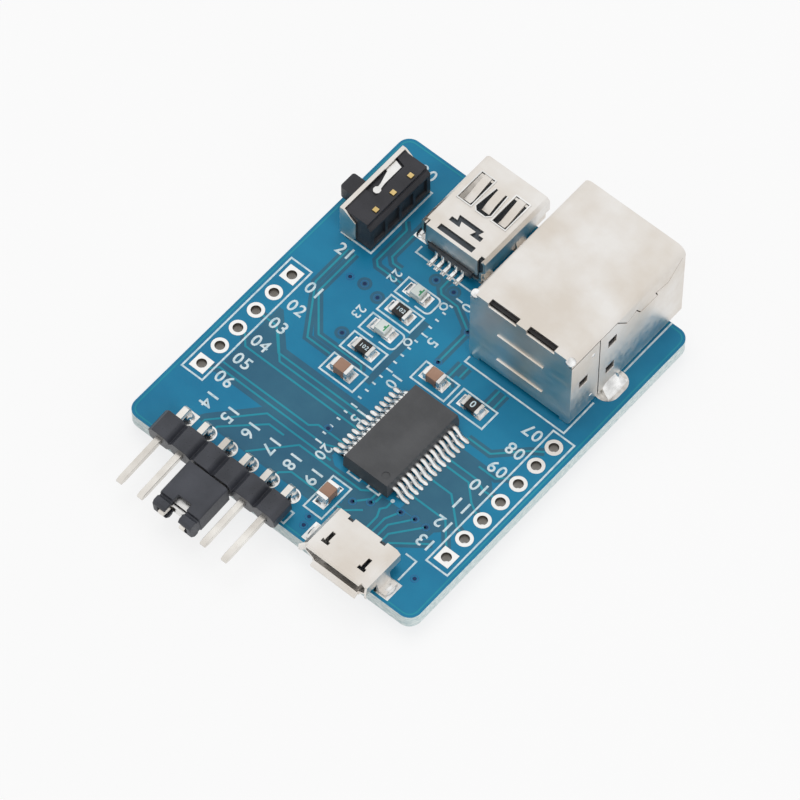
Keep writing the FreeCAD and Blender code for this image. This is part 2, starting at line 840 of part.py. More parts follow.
def mini_usb_insulator():
    """Black block in the back of the shell, a tail shelf behind it, and the thin tongue."""
    body = new_body("mini_usb_insulator", d.mini_x)
    clear = d.mini_sheet + d.seat_gap
    rear = d.mini_rear
    add(body, "XZ_Plane", rear + 0.1, rear + 3.7, mini_profile(clear))
    shelf = rectangle(-2.6, MINI_LEAD_LEVEL - 0.3, 2.6, MINI_COVER_LOW - 0.08)
    add(body, "XZ_Plane", rear - 0.55, rear + 0.2, shelf)
    tongue = rectangle(-2.5, MINI_LEAD_LEVEL + 0.1, 2.5, MINI_LEAD_LEVEL + 0.85)
    add(body, "XZ_Plane", rear + 3.6, MINI_FRONT - 1.1, tongue)
    half = d.mini_lead_width / 2 + d.slip
    for x in centred_row(SOCKET_LEAD_COUNT, d.mini_lead_pitch):
        cut(body, "YZ_Plane", x - half, x + half, mini_contact_outline(d.slip))


def mini_usb_contacts():
    body = new_body("mini_usb_contacts", d.mini_x)
    half = d.mini_lead_width / 2
    for x in centred_row(SOCKET_LEAD_COUNT, d.mini_lead_pitch):
        add(body, "YZ_Plane", x - half, x + half, mini_contact_outline())


MICRO_TOP = d.seat_gap + d.micro_height
MICRO_HALF = d.micro_width / 2
MICRO_FRONT = d.micro_rear - d.micro_length


def micro_profile(inset):
    """Mouth shape of the micro socket: flat top, upright cheeks and sloped lower corners."""
    half = MICRO_HALF - inset
    low_half = MICRO_HALF - 0.9 - inset * 0.7
    low = d.seat_gap + inset
    top = MICRO_TOP - inset
    right = [
        (low_half - 0.1, low),
        (low_half, low + 0.35),
        (half, MICRO_TOP - 1.5),
        (half, top - 0.4),
        (half - 0.4, top),
    ]
    return right + [(-x, z) for x, z in reversed(right)]


def micro_usb_shell():
    """Folded sheet with flared lips, two locking slots, rear notches and two side feet."""
    body = new_body("micro_usb_shell", d.micro_x)
    rear = d.micro_rear
    front = MICRO_FRONT
    gauge = d.micro_sheet
    add(body, "XZ_Plane", front, rear, micro_profile(0))
    cut(body, "XZ_Plane", front - 0.1, rear + 0.1, micro_profile(gauge))
    openings = []
    for side in (-1, 1):
        x = 2.15 * side
        openings.append(
            [
                (x - 0.2, front + 1.35),
                (x - 0.42, front + 1.35),
                (x - 0.42, front + 0.95),
                (x + 0.42, front + 0.95),
                (x + 0.42, front + 1.35),
                (x + 0.2, front + 1.35),
                (x + 0.2, front + 2.4),
                (x - 0.2, front + 2.4),
            ]
        )
        notch = 1.9 * side
        openings.append(rectangle(notch - 0.3, rear - 0.45, notch + 0.3, rear + 0.1))
    cut(body, "XY_Plane", MICRO_TOP - gauge - 0.05, MICRO_TOP + 0.1, *openings)
    # lips flared out round the mouth
    flare = 0.45
    root = front + 0.15
    tip = front - flare
    upper_lip = [
        (root, MICRO_TOP - gauge),
        (root, MICRO_TOP),
        (front, MICRO_TOP),
        (tip, MICRO_TOP + 0.22),
        (tip, MICRO_TOP - 0.03),
        (front, MICRO_TOP - gauge),
    ]
    lower_lip = [
        (root, d.seat_gap + gauge),
        (root, d.seat_gap),
        (front, d.seat_gap),
        (tip, d.seat_gap - 0.3),
        (tip, d.seat_gap - 0.05),
        (front, d.seat_gap + gauge),
    ]
    add(body, "YZ_Plane", -MICRO_HALF + 0.6, MICRO_HALF - 0.6, upper_lip)
    add(body, "YZ_Plane", -MICRO_HALF + 1.1, MICRO_HALF - 1.1, lower_lip)
    for side in (-1, 1):
        side_lip = [
            (MICRO_HALF - gauge, root),
            (MICRO_HALF, root),
            (MICRO_HALF, front),
            (MICRO_HALF + 0.3, tip),
            (MICRO_HALF + 0.05, tip),
            (MICRO_HALF - gauge, front),
        ]
        side_lip = [(x * side, y) for x, y in side_lip]
        add(body, "XY_Plane", MICRO_TOP - 1.4, MICRO_TOP - 0.45, side_lip)
        foot = [
            (MICRO_HALF - gauge, MICRO_TOP - 1.0),
            (MICRO_HALF, MICRO_TOP - 1.0),
            (MICRO_HALF + 0.2, d.seat_gap + 0.25),
            (MICRO_HALF + 1.0, d.seat_gap + 0.25),
            (MICRO_HALF + 1.0, d.seat_gap),
            (MICRO_HALF - 0.05, d.seat_gap),
            (MICRO_HALF - gauge, d.seat_gap + 0.9),
        ]
        foot = [(x * side, z) for x, z in foot]
        add(body, "XZ_Plane", rear - 3.3, rear - 1.6, foot)


def micro_contact_outline(clear=0):
    """Foot behind the shell, a short riser and a blade on the tongue."""
    thick = 0.15
    rear = d.micro_rear
    blade = d.seat_gap + 0.95
    foot = d.pad_thickness
    return [
        (rear + 0.75, foot),
        (rear + 0.75, foot + thick),
        (rear + 0.3, foot + thick),
        (rear + 0.15, foot + thick + 0.1),
        (rear + 0.15, blade + clear + thick),
        (MICRO_FRONT + 1.0, blade + clear + thick),
        (MICRO_FRONT + 1.0, blade - clear),
        (rear, blade - clear),
        (rear, foot + 0.1),
        (rear + 0.15, foot),
    ]


def micro_usb_insulator():
    body = new_body("micro_usb_insulator", d.micro_x)
    clear = d.micro_sheet + d.seat_gap
    rear = d.micro_rear
    add(body, "XZ_Plane", rear - 1.6, rear - 0.05, micro_profile(clear))
    level = d.seat_gap + 0.95
    tongue = rectangle(-1.9, level + 0.1, 1.9, level + 0.65)
    add(body, "XZ_Plane", MICRO_FRONT + 0.7, rear - 1.5, tongue)
    half = d.micro_lead_width / 2 + d.slip
    for x in centred_row(SOCKET_LEAD_COUNT, d.micro_lead_pitch):
        cut(body, "YZ_Plane", x - half, x + half, micro_contact_outline(d.slip))


def micro_usb_contacts():
    body = new_body("micro_usb_contacts", d.micro_x)
    half = d.micro_lead_width / 2
    for x in centred_row(SOCKET_LEAD_COUNT, d.micro_lead_pitch):
        add(body, "YZ_Plane", x - half, x + half, micro_contact_outline())


SWITCH_HALF_X = d.switch_width / 2
SWITCH_HALF_Y = d.switch_length / 2
SWITCH_TOP = d.seat_gap + d.switch_height
SLIDER_LOW = d.seat_gap + 0.95
SLIDER_HIGH = SLIDER_LOW + d.knob_height + 0.3
SLIDER_REST = -d.switch_travel / 2
SLIDER_HALF = d.knob_width / 2 + 1.0
SWITCH_BACK = SWITCH_PIN_X - d.switch_pin / 2 - d.slip
SWITCH_RECESS = 0.28


def switch_housing():
    """Black moulded body: sloped shoulder, slider channel, spring recess and three pin holes."""
    body = new_body("switch_housing", d.switch_x, d.switch_y)
    section = [
        (-SWITCH_HALF_X, d.seat_gap),
        (SWITCH_HALF_X, d.seat_gap),
        (SWITCH_HALF_X, SWITCH_TOP - 0.8),
        (SWITCH_HALF_X - 0.3, SWITCH_TOP - 0.45),
        (SWITCH_HALF_X - 0.45, SWITCH_TOP - 0.45),
        (SWITCH_HALF_X - 0.45, SWITCH_TOP),
        (-SWITCH_HALF_X, SWITCH_TOP),
    ]
    add(body, "XZ_Plane", -SWITCH_HALF_Y, SWITCH_HALF_Y, section)
    run = SLIDER_HALF + d.switch_travel / 2 + 0.1
    clear = d.seat_gap
    channel = rectangle(-run, SLIDER_LOW - clear, run, SLIDER_HIGH + clear)
    cut(body, "YZ_Plane", -SWITCH_HALF_X - 0.1, SWITCH_BACK, channel)
    recess = [
        (-SWITCH_HALF_X - 0.1, -1.35),
        (-SWITCH_HALF_X + 1.45, -1.35),
        (-SWITCH_HALF_X + 1.45, 0.3),
        (-SWITCH_HALF_X + 1.3, 0.6),
        (-SWITCH_HALF_X + 1.3, 2.95),
        (-SWITCH_HALF_X - 0.1, 3.3),
    ]
    cut(body, "XY_Plane", SWITCH_TOP - SWITCH_RECESS, SWITCH_TOP + 0.1, recess)
    pockets = [
        rectangle(SWITCH_HALF_X - 0.25, y - 0.8, SWITCH_HALF_X + 0.1, y + 0.8)
        for y in centred_row(4, d.switch_pin_pitch * 0.8)
    ]
    cut(body, "XY_Plane", d.seat_gap + 0.6, SWITCH_TOP - 1.1, *pockets)
    half = d.switch_pin / 2 + d.slip
    pins = [square(SWITCH_PIN_X, y, half) for y in SWITCH_PINS]
    cut(body, "XY_Plane", 0, SWITCH_TOP + 0.1, *pins)


def switch_cover():
    """Sheet-metal face with the knob window, folded over the top and round both ends."""
    body = new_body("switch_cover", d.switch_x, d.switch_y)
    gauge = d.switch_sheet
    face = -SWITCH_HALF_X - d.slip
    end = SWITCH_HALF_Y + d.slip
    top = SWITCH_TOP + d.slip
    add(
        body,
        "YZ_Plane",
        face - gauge,
        face,
        rectangle(-end - gauge, d.seat_gap, end + gauge, top + gauge),
    )
    window = d.knob_width / 2 + d.switch_travel / 2 + 0.1
    opening = rectangle(-window, SLIDER_LOW, window, SLIDER_HIGH)
    cut(body, "YZ_Plane", face - gauge - 0.1, face + 0.1, opening)
    add(
        body,
        "XY_Plane",
        top,
        top + gauge,
        rectangle(face - gauge, -end - gauge, face + 0.25, end + gauge),
    )
    flap = [
        (face - gauge, d.seat_gap),
        (SWITCH_LEG_X - 0.3, d.seat_gap),
        (SWITCH_LEG_X - 0.3, TAIL_END + 0.3),
        (SWITCH_LEG_X - 0.15, TAIL_END),
        (SWITCH_LEG_X + 0.15, TAIL_END),
        (SWITCH_LEG_X + 0.3, TAIL_END + 0.3),
        (SWITCH_LEG_X + 0.3, d.seat_gap),
        (SWITCH_LEG_X + 0.8, d.seat_gap + 0.5),
        (SWITCH_LEG_X + 0.8, top - 0.9),
        (face + 0.25, top + gauge),
        (face - gauge, top + gauge),
    ]
    add(body, "XZ_Plane", end, end + gauge, flap)
    add(body, "XZ_Plane", -end - gauge, -end, flap)


def switch_slider():
    """Moulded slider: a carrier inside the channel with the side knob."""
    body = new_body("switch_slider", d.switch_x, d.switch_y + SLIDER_REST)
    carrier = rectangle(-SLIDER_HALF, SLIDER_LOW + d.slip, SLIDER_HALF, SLIDER_HIGH - d.slip)
    face = -SWITCH_HALF_X
    add(body, "YZ_Plane", face + 0.05, SWITCH_BACK - 0.7, carrier)
    half = d.knob_width / 2
    low = SLIDER_LOW + 0.15
    knob = rectangle(-half, low, half, low + d.knob_height)
    add(body, "YZ_Plane", face - d.knob_reach - d.switch_sheet, face + 0.1, knob)
    tip = face - d.knob_reach - d.switch_sheet
    round_edges(
        body,
        0.3,
        lambda edge: runs_along(edge, 2) and near(edge.CenterOfMass.x, tip),
    )


def switch_wiper():
    """Bridging contact carried on the slider's back, with two raised contact points."""
    body = new_body("switch_wiper", d.switch_x, d.switch_y + SLIDER_REST)
    root = SWITCH_BACK - 0.7 + d.slip / 2
    spread = d.switch_pin_pitch / 2
    strip = [
        (root, -spread - 0.4),
        (root + 0.2, -spread - 0.4),
        (root + 0.64, -spread),
        (root + 0.2, -spread + 0.4),
        (root + 0.2, spread - 0.4),
        (root + 0.64, spread),
        (root + 0.2, spread + 0.4),
        (root, spread + 0.4),
    ]
    middle = (SLIDER_LOW + SLIDER_HIGH) / 2
    add(body, "XY_Plane", middle - 0.4, middle + 0.4, strip)


def switch_detent_spring():
    """Leaf spring in the top recess, broad at its root and ending in a round pad."""
    body = new_body("switch_detent_spring", d.switch_x, d.switch_y)
    left = -SWITCH_HALF_X + 0.1
    leaf = [
        (left, 1.6),
        (left + 0.3, 1.55),
        (left + 0.72, 0.1),
        (left + 0.78, -0.4),
        (left + 1.15, -0.4),
        (left + 1.05, 0.35),
        (left + 1.05, 2.75),
        (left, 3.05),
    ]
    floor = SWITCH_TOP - SWITCH_RECESS
    add(body, "XY_Plane", floor + d.slip, floor + 0.17, leaf)
    add(body, "XY_Plane", floor + d.slip, floor + 0.17, octagon(left + 0.95, -0.65, 0.42))


def switch_terminal(number, y):
    body = new_body(f"switch_terminal_{number}", d.switch_x + SWITCH_PIN_X, d.switch_y + y)
    pin = square(as_size(0), as_size(0), d.switch_pin / 2)
    add(body, "XY_Plane", TAIL_END, SWITCH_TOP + 0.12, pin)


def lean(forward, up):
    """Board Y and Z of a point given along and across the leaning header."""
    y = -HALF_LENGTH - forward * LEAN_COS - up * LEAN_SIN
    z = up * LEAN_COS - forward * LEAN_SIN
    return y, z


def lean_at(y, up):
    """The point at height up across the leaning header that lies at board Y."""
    forward = (-HALF_LENGTH - up * LEAN_SIN - y) / LEAN_COS
    return y, up * LEAN_COS - forward * LEAN_SIN


def leaning_body(label, x):
    """A body whose XZ plane lies across the header, turned about the board's near edge."""
    body = new_body(label, x, -HALF_LENGTH)
    body.Placement = FreeCAD.Placement(
        body.Placement.Base, FreeCAD.Rotation(FreeCAD.Vector(1, 0, 0), d.header_tilt.number)
    )
    bind(body, "Placement.Rotation.Angle", d.header_tilt)
    return body


def header_strip():
    """Breakaway moulding of six units, with a V notch above and below at each joint."""
    body = leaning_body("header_strip", d.header_x)
    low = d.slip
    high = low + d.strip_height
    notch = d.strip_notch
    depth = d.strip_notch_depth
    edges = [d.hole_pitch * (i - HEADER_PINS / 2) for i in range(HEADER_PINS + 1)]
    upper = []
    lower = []
    for i in range(HEADER_PINS):
        left = edges[i]
        right = edges[i + 1]
        lower += [(left, low + depth), (left + notch, low), (right - notch, low)]
        upper += [(left, high - depth), (left + notch, high), (right - notch, high)]
    lower.append((edges[-1], low + depth))
    upper.append((edges[-1], high - depth))
    back = d.strip_depth - d.strip_overhang
    add(body, "XZ_Plane", -d.strip_overhang, back, lower + upper[::-1])
    half = d.pin_side / 2 + d.slip / 2
    holes = [
        square(x, PIN_LIFT, half) for x in centred_row(HEADER_PINS, d.hole_pitch)
    ]
    cut(body, "XZ_Plane", -d.strip_overhang - 0.1, back + 0.1, *holes)


def header_pin(number, x):
    """Square pin bent once: its tail goes down through the board, its tip leans outwards."""
    body = new_body(f"header_pin_{number}", x)
    half = d.pin_side / 2
    tip = d.strip_overhang + d.pin_reach
    outer = HEADER_ROW_Y + half
    inner = HEADER_ROW_Y - half
    bend = 0.35
    corner_y, corner_z = lean_at(outer, PIN_LIFT + half)
    over_y, over_z = lean_at(outer - bend, PIN_LIFT + half)
    outline = [
        (inner + 0.12, TAIL_END),
        (outer - 0.12, TAIL_END),
        (outer, TAIL_END + 0.4),
        (corner_y, corner_z - bend),
        (over_y, over_z),
        lean(tip - 0.5, PIN_LIFT + half),
        lean(tip, PIN_LIFT + half * 0.5),
        lean(tip, PIN_LIFT - half * 0.5),
        lean(tip - 0.5, PIN_LIFT - half),
        lean_at(inner, PIN_LIFT - half),
        (inner, TAIL_END + 0.4),
    ]
    add(body, "YZ_Plane", -half, half, outline)


JUMPER_PIN_X = [d.hole_pitch * (i - (HEADER_PINS - 1) / 2) for i in JUMPER_PINS]


def jumper_housing():
    """Moulded cap with two pin bores and a pair of pull ears at its outer end."""
    body = leaning_body("jumper_housing", d.header_x)
    half = d.jumper_width / 2
    low = PIN_LIFT - d.jumper_height / 2
    high = JUMPER_TOP
    body_end = JUMPER_START + d.jumper_length
    add(body, "XZ_Plane", -body_end, -JUMPER_START, trimmed(half, low, high, 0.15, 0.15))
    # each ear is a narrow neck and a thicker lip to pull the cap by
    ear_inner = d.jumper_width / 2 - d.jumper_ear_width
    lip = body_end + 0.4
    ear = [
        (-body_end + 0.1, low + 0.35),
        (-body_end + 0.1, high - 0.4),
        (-lip + 0.15, high - 0.4),
        (-lip, high - 0.1),
        (-JUMPER_END + 0.25, high - 0.1),
        (-JUMPER_END, high - 0.45),
        (-JUMPER_END, low + 0.6),
        (-JUMPER_END + 0.4, low + 0.1),
        (-lip, low + 0.1),
        (-lip + 0.15, low + 0.35),
    ]
    for side in (-1, 1):
        inner = ear_inner * side
        outer = (half - 0.05) * side
        left, right = (inner, outer) if side > 0 else (outer, inner)
        add(body, "YZ_Plane", left, right, ear)
    notch = rectangle(-ear_inner, -body_end - 0.1, ear_inner, -body_end + 0.75)
    cut(body, "XY_Plane", PIN_LIFT, high + 0.1, notch)
    # the bores hold the clip's leaves above and below each pin
    bore_half = d.pin_side / 2 + 0.3
    bores = [
        rectangle(x - 0.5, PIN_LIFT - bore_half, x + 0.5, PIN_LIFT + bore_half)
        for x in JUMPER_PIN_X
    ]
    cut(body, "XZ_Plane", -JUMPER_END - 0.1, -JUMPER_START + 0.1, *bores)
    bridge = rectangle(-ear_inner, PIN_LIFT - bore_half, ear_inner, PIN_LIFT + bore_half)
    cut(body, "XZ_Plane", -body_end - 0.1, -body_end + 1.2, bridge)


def jumper_contact():
    """Spring clip that shorts the two pins: four leaves joined by a bridge in the open end."""
    body = leaning_body("jumper_contact", d.header_x)
    inner = d.pin_side / 2 + 0.03
    outer = d.pin_side / 2 + 0.25
    body_end = JUMPER_START + d.jumper_length
    start = JUMPER_START + 0.6
    leaves = []
    for x in JUMPER_PIN_X:
        leaves.append(rectangle(x - 0.42, PIN_LIFT + inner, x + 0.42, PIN_LIFT + outer))
        leaves.append(rectangle(x - 0.42, PIN_LIFT - outer, x + 0.42, PIN_LIFT - inner))
    add(body, "XZ_Plane", -body_end - 0.3, -start, *leaves)
    span = JUMPER_PIN_X[1] + 0.42
    bridges = [
        rectangle(-span, PIN_LIFT + inner, span, PIN_LIFT + outer),
        rectangle(-span, PIN_LIFT - outer, span, PIN_LIFT - inner),
    ]
    add(body, "XZ_Plane", -body_end - 0.3, -body_end + 1.1, *bridges)
    web = rectangle(-0.4, PIN_LIFT - outer, 0.4, PIN_LIFT + outer)
    add(body, "XZ_Plane", -body_end - 0.3, -body_end, web)


CHIP_MIDDLE = d.seat_gap + d.chip_height / 2


def chip_body():
    """Moulded package, drafted up and down from its parting line."""
    body = new_body("chip_body", d.chip_x, d.chip_y)
    half_x = d.chip_width / 2
    half_y = d.chip_length / 2
    outline = rectangle(-half_x, -half_y, half_x, half_y)
    add(body, "XY_Plane", CHIP_MIDDLE, d.seat_gap + d.chip_height, outline, taper=-7)
    add(body, "XY_Plane", CHIP_MIDDLE - d.chip_height / 2 + 0.05, CHIP_MIDDLE, outline)
    dot = Disc(half_x - 0.95, -half_y + 0.95, 0.4)
    cut(body, "XY_Plane", d.seat_gap + d.chip_height - 0.1, d.seat_gap + d.chip_height + 0.1, dot)


def chip_leads():
    """Gull-wing leads: one profile, repeated along the side and mirrored to the other."""
    body = new_body("chip_leads", d.chip_x, d.chip_y)
    gauge = d.chip_lead_sheet
    root = d.chip_width / 2 + d.slip / 2
    tip = d.chip_span / 2
    foot = d.pad_thickness
    level = CHIP_MIDDLE - gauge / 2
    knee = root + 0.3
    heel = tip - 0.65
    profile = [
        (root, level),
        (knee, level),
        (heel, foot),
        (tip, foot),
        (tip, foot + gauge),
        (heel + 0.07, foot + gauge),
        (knee + 0.1, level + gauge),
        (root, level + gauge),
    ]
    half = d.chip_lead_width / 2
    first = -d.chip_lead_pitch * ((CHIP_LEADS_PER_SIDE - 1) / 2)
    lead = add(body, "XZ_Plane", first - half, first + half, profile)
    repeat(body, lead, d.chip_lead_pitch, CHIP_LEADS_PER_SIDE)
    document.recompute()
    other_side = body.newObject("PartDesign::Mirrored", "chip_lead_mirror")
    other_side.TransformMode = "Whole shape"
    other_side.MirrorPlane = (origin_item(body, "YZ_Plane"), [""])
    body.Tip = other_side


def two_ended(label, x, y, height, upright=False):
    """A small surface-mounted part: its body and the two metal ends, face to face."""
    half_long = d.small_length / 2
    half_wide = d.small_width / 2
    middle = half_long - d.small_end
    low = d.pad_thickness
    core = rectangle(-middle, -half_wide, middle, half_wide)
    ends = [
        rectangle(-half_long, -half_wide, -middle, half_wide),
        rectangle(middle, -half_wide, half_long, half_wide),
    ]
    if upright:
        core = [(y_, x_) for x_, y_ in core]
        ends = [[(y_, x_) for x_, y_ in end] for end in ends]
    part_body = new_body(label + "_body", x, y)
    add(part_body, "XY_Plane", low + d.slip, low + height, core)
    part_ends = new_body(label + "_ends", x, y)
    add(part_ends, "XY_Plane", low, low + height + d.slip, *ends)


def led(number, y):
    """Indicator lamp: substrate with metal ends and a clear lens moulded on it."""
    half_long = d.small_length / 2
    half_wide = d.small_width / 2
    middle = half_long - d.small_end
    low = d.pad_thickness
    base = new_body(f"led_{number}_base", d.column_x, y)
    add(
        base,
        "XY_Plane",
        low,
        low + d.led_base,
        rectangle(-middle, -half_wide, middle, half_wide),
    )
    ends = new_body(f"led_{number}_ends", d.column_x, y)
    add(
        ends,
        "XY_Plane",
        low,
        low + d.led_base,
        rectangle(-half_long, -half_wide, -middle, half_wide),
        rectangle(middle, -half_wide, half_long, half_wide),
    )
    lens = new_body(f"led_{number}_lens", d.column_x, y)
    section = trimmed(middle, low + d.led_base, low + d.led_height, 0.01, 0.12)
    add(lens, "XZ_Plane", -half_wide + 0.05, half_wide - 0.05, section)


def chip_pads(body):
    """The first pad of each side, repeated along the chip."""
    first_y = d.chip_y - d.chip_lead_pitch * ((CHIP_LEADS_PER_SIDE - 1) / 2)
    half = (as_size(0.55), as_size(0.18))
    pair = [
        pad_at(d.chip_x + (d.chip_span / 2 - 0.25) * side, first_y, *half) for side in (-1, 1)
    ]
    first = add(body, "XY_Plane", 0, d.pad_thickness, *pair)
    repeat(body, first, d.chip_lead_pitch, CHIP_LEADS_PER_SIDE)


def small_part_pads(body):
    reach = d.small_length / 2 - 0.1
    along = as_size(0.55)
    across = d.small_width / 2 + 0.05
    column = (d.led_1_y, d.resistor_1_y, d.led_2_y, d.resistor_2_y, d.capacitor_1_y)
    for side in (-1, 1):
        offset = reach * side
        pads = [pad_at(d.column_x + offset, y, along, across) for y in column]
        add(body, "XY_Plane", 0, d.pad_thickness, *pads)
        pads = [
            pad_at(x + offset, d.beside_usb_b_y, along, across)
            for x in (d.capacitor_2_x, d.resistor_3_x)
        ]
        pads.append(pad_at(d.capacitor_3_x, d.capacitor_3_y + offset, across, along))
        add(body, "XY_Plane", 0, d.pad_thickness, *pads)


def socket_pads(body):
    half = (as_size(0.24), as_size(0.5))
    row = centred_row(SOCKET_LEAD_COUNT, d.mini_lead_pitch, d.mini_x)
    pads = [pad_at(x, d.mini_rear - 1.15, *half) for x in row]
    add(body, "XY_Plane", 0, d.pad_thickness, *pads)
    half = (as_size(0.19), as_size(0.5))
    row = centred_row(SOCKET_LEAD_COUNT, d.micro_lead_pitch, d.micro_x)
    pads = [pad_at(x, d.micro_rear + 0.45, *half) for x in row]
    add(body, "XY_Plane", 0, d.pad_thickness, *pads)
    anchors = []
    for side in (-1, 1):
        foot_x = d.mini_x + (MINI_HALF + 0.15) * side
        anchors.append(pad_at(foot_x, d.mini_rear + 0.9, as_size(0.85), as_size(0.9)))
        anchors.append(pad_at(foot_x, MINI_FRONT - 3.7, as_size(0.85), as_size(0.9)))
        foot_x = d.micro_x + (MICRO_HALF + 0.55) * side
        anchors.append(pad_at(foot_x, d.micro_rear - 2.45, as_size(0.85), as_size(1.05)))
    add(body, "XY_Plane", 0, d.pad_thickness, *anchors)


def surface_pads():
    """Tinned pads under every surface-mounted lead, each a separate thin solid."""
    body = new_body("surface_pads")
    chip_pads(body)
    small_part_pads(body)
    socket_pads(body)


UNDER = -d.board_thickness
JOINT_NECK = 0.52


def usb_b_solder():
    body = new_body("usb_b_solder")
    tabs = []
    pins = []
    for side in (-1, 1):
        tab_x = d.usb_b_x + USB_B_TAB_X * side
        tabs.append((tab_x, d.usb_b_tab_y, d.usb_b_sheet / 2, d.usb_b_tab_width / 2, 1.3))
        pin_x = d.usb_b_x + d.usb_b_pin_pitch / 2 * side
        for y in (USB_B_NEAR_PINS, USB_B_FAR_PINS):
            half_x = d.usb_b_pin_width / 2
            pins.append((pin_x, y, half_x, d.usb_b_pin_sheet / 2, JOINT_NECK))
    solder(body, tabs, UNDER - 0.8, UNDER, d.solder_slope)
    solder(body, pins, UNDER - 0.7, UNDER, d.solder_slope)
    half_mound = USB_B_TAB_HOLE + 0.05
    for side in (-1, 1):
        wall = USB_B_HALF + d.slip
        mound = [
            (wall, as_size(0)),
            (wall + 1.15, as_size(0)),
            (wall + 1.05, as_size(0.4)),
            (wall + 0.6, as_size(1.0)),
            (wall + 0.2, as_size(1.2)),
            (wall, as_size(1.2)),
        ]
        mound = [(d.usb_b_x + x * side, z) for x, z in mound]
        add(body, "XZ_Plane", d.usb_b_tab_y - half_mound, d.usb_b_tab_y + half_mound, mound)


def switch_solder():
    body = new_body("switch_solder")
    half = d.switch_pin / 2
    pin_x = d.switch_x + SWITCH_PIN_X
    leg_x = d.switch_x + SWITCH_LEG_X
    joints = [(pin_x, d.switch_y + y, half, half, JOINT_NECK) for y in SWITCH_PINS]
    for side in (-1, 1):
        leg_y = d.switch_y + SWITCH_LEG_Y * side
        joints.append((leg_x, leg_y, as_size(0.3), d.switch_sheet / 2, JOINT_NECK))
    solder(body, joints, UNDER - 0.7, UNDER, d.solder_slope)


def header_solder():
    body = new_body("header_solder")
    half = d.pin_side / 2
    below = [(x, HEADER_ROW_Y, half, half, JOINT_NECK) for x in HEADER_ROW]
    above = [(x, HEADER_ROW_Y, half, half, 0.85) for x in HEADER_ROW]
    solder(body, below, UNDER - 0.7, UNDER, d.solder_slope)
    solder(body, above, 0, 0.5, -d.solder_slope)


def build():
    circuit_board()
    plated_row("left_row_plated_holes", LEFT_ROW_X, LEFT_ROW, LEFT_SQUARES)
    plated_row("right_row_plated_holes", RIGHT_ROW_X, RIGHT_ROW, RIGHT_SQUARES)
    surface_pads()
    usb_b_shell()
    usb_b_insulator()
    contacts = ((-1, True), (1, True), (-1, False), (1, False))
    for number, (side, upper) in enumerate(contacts, start=1):
        usb_b_contact(number, side, upper)
    usb_b_solder()
    mini_usb_shell()
    mini_usb_insulator()
    mini_usb_contacts()
    micro_usb_shell()
    micro_usb_insulator()
    micro_usb_contacts()
    switch_housing()
    switch_cover()
    switch_slider()
    switch_wiper()
    switch_detent_spring()
    for number, y in enumerate(SWITCH_PINS, start=1):
        switch_terminal(number, y)
    switch_solder()
    header_strip()
    for number, x in enumerate(HEADER_ROW, start=1):
        header_pin(number, x)
    header_solder()
    jumper_housing()
    jumper_contact()
    chip_body()
    chip_leads()
    column = (("resistor_1", d.resistor_1_y), ("resistor_2", d.resistor_2_y))
    for label, y in column:
        two_ended(label, d.column_x, y, d.resistor_height)
    two_ended("resistor_3", d.resistor_3_x, d.beside_usb_b_y, d.resistor_height)
    two_ended("capacitor_1", d.column_x, d.capacitor_1_y, d.capacitor_height)
    two_ended("capacitor_2", d.capacitor_2_x, d.beside_usb_b_y, d.capacitor_height)
    two_ended("capacitor_3", d.capacitor_3_x, d.capacitor_3_y, d.capacitor_height, upright=True)
    led(1, d.led_1_y)
    led(2, d.led_2_y)


def check():
    """Stops on any object that failed to compute and on any empty or broken sub-part."""
    for item in document.Objects:
        if "Invalid" in item.State or "Error" in item.State:
            raise RuntimeError(f"{item.Label} failed: {item.State}")
    for part in parts:
        if part.Shape.isNull() or not part.Shape.isValid() or not part.Shape.Solids:
            raise RuntimeError(f"{part.Label} has no sound shape")


def export():
    os.makedirs("parts", exist_ok=True)
    for part in parts:
        part.Shape.exportStep(os.path.join("parts", part.Label + ".step"))


build()
document.recompute()
check()
export()
print(f"{len(parts)} sub-parts written")
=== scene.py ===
"""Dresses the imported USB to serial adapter: finishes, printed marks, tracks, solder and soft edges.

Lengths in the sections are millimetres on the board: X across it, Y towards the USB-B socket, and
Z up from its top face. The on_board function turns them into the frame's metres.
"""

import math

import bmesh
import bpy
from mathutils import Matrix, Vector


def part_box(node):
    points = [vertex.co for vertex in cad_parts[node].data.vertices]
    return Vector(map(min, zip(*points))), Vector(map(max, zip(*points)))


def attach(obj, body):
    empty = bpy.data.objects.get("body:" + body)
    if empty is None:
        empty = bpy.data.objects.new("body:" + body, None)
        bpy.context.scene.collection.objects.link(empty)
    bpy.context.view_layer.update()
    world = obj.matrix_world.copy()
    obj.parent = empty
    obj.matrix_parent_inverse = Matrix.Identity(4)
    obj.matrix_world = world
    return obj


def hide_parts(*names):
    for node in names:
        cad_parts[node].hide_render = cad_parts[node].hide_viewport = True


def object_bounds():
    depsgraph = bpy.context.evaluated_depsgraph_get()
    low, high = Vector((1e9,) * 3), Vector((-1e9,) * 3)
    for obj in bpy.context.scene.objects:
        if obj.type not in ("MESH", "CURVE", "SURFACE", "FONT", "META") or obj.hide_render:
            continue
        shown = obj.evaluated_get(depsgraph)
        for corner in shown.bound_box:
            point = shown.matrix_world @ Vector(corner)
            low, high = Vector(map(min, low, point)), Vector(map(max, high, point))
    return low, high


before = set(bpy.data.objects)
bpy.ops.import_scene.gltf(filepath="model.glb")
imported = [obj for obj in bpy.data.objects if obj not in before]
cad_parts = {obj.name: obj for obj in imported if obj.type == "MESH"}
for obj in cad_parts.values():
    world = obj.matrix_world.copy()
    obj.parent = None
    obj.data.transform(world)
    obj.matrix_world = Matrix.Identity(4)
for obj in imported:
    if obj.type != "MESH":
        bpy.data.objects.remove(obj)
cad_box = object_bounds()

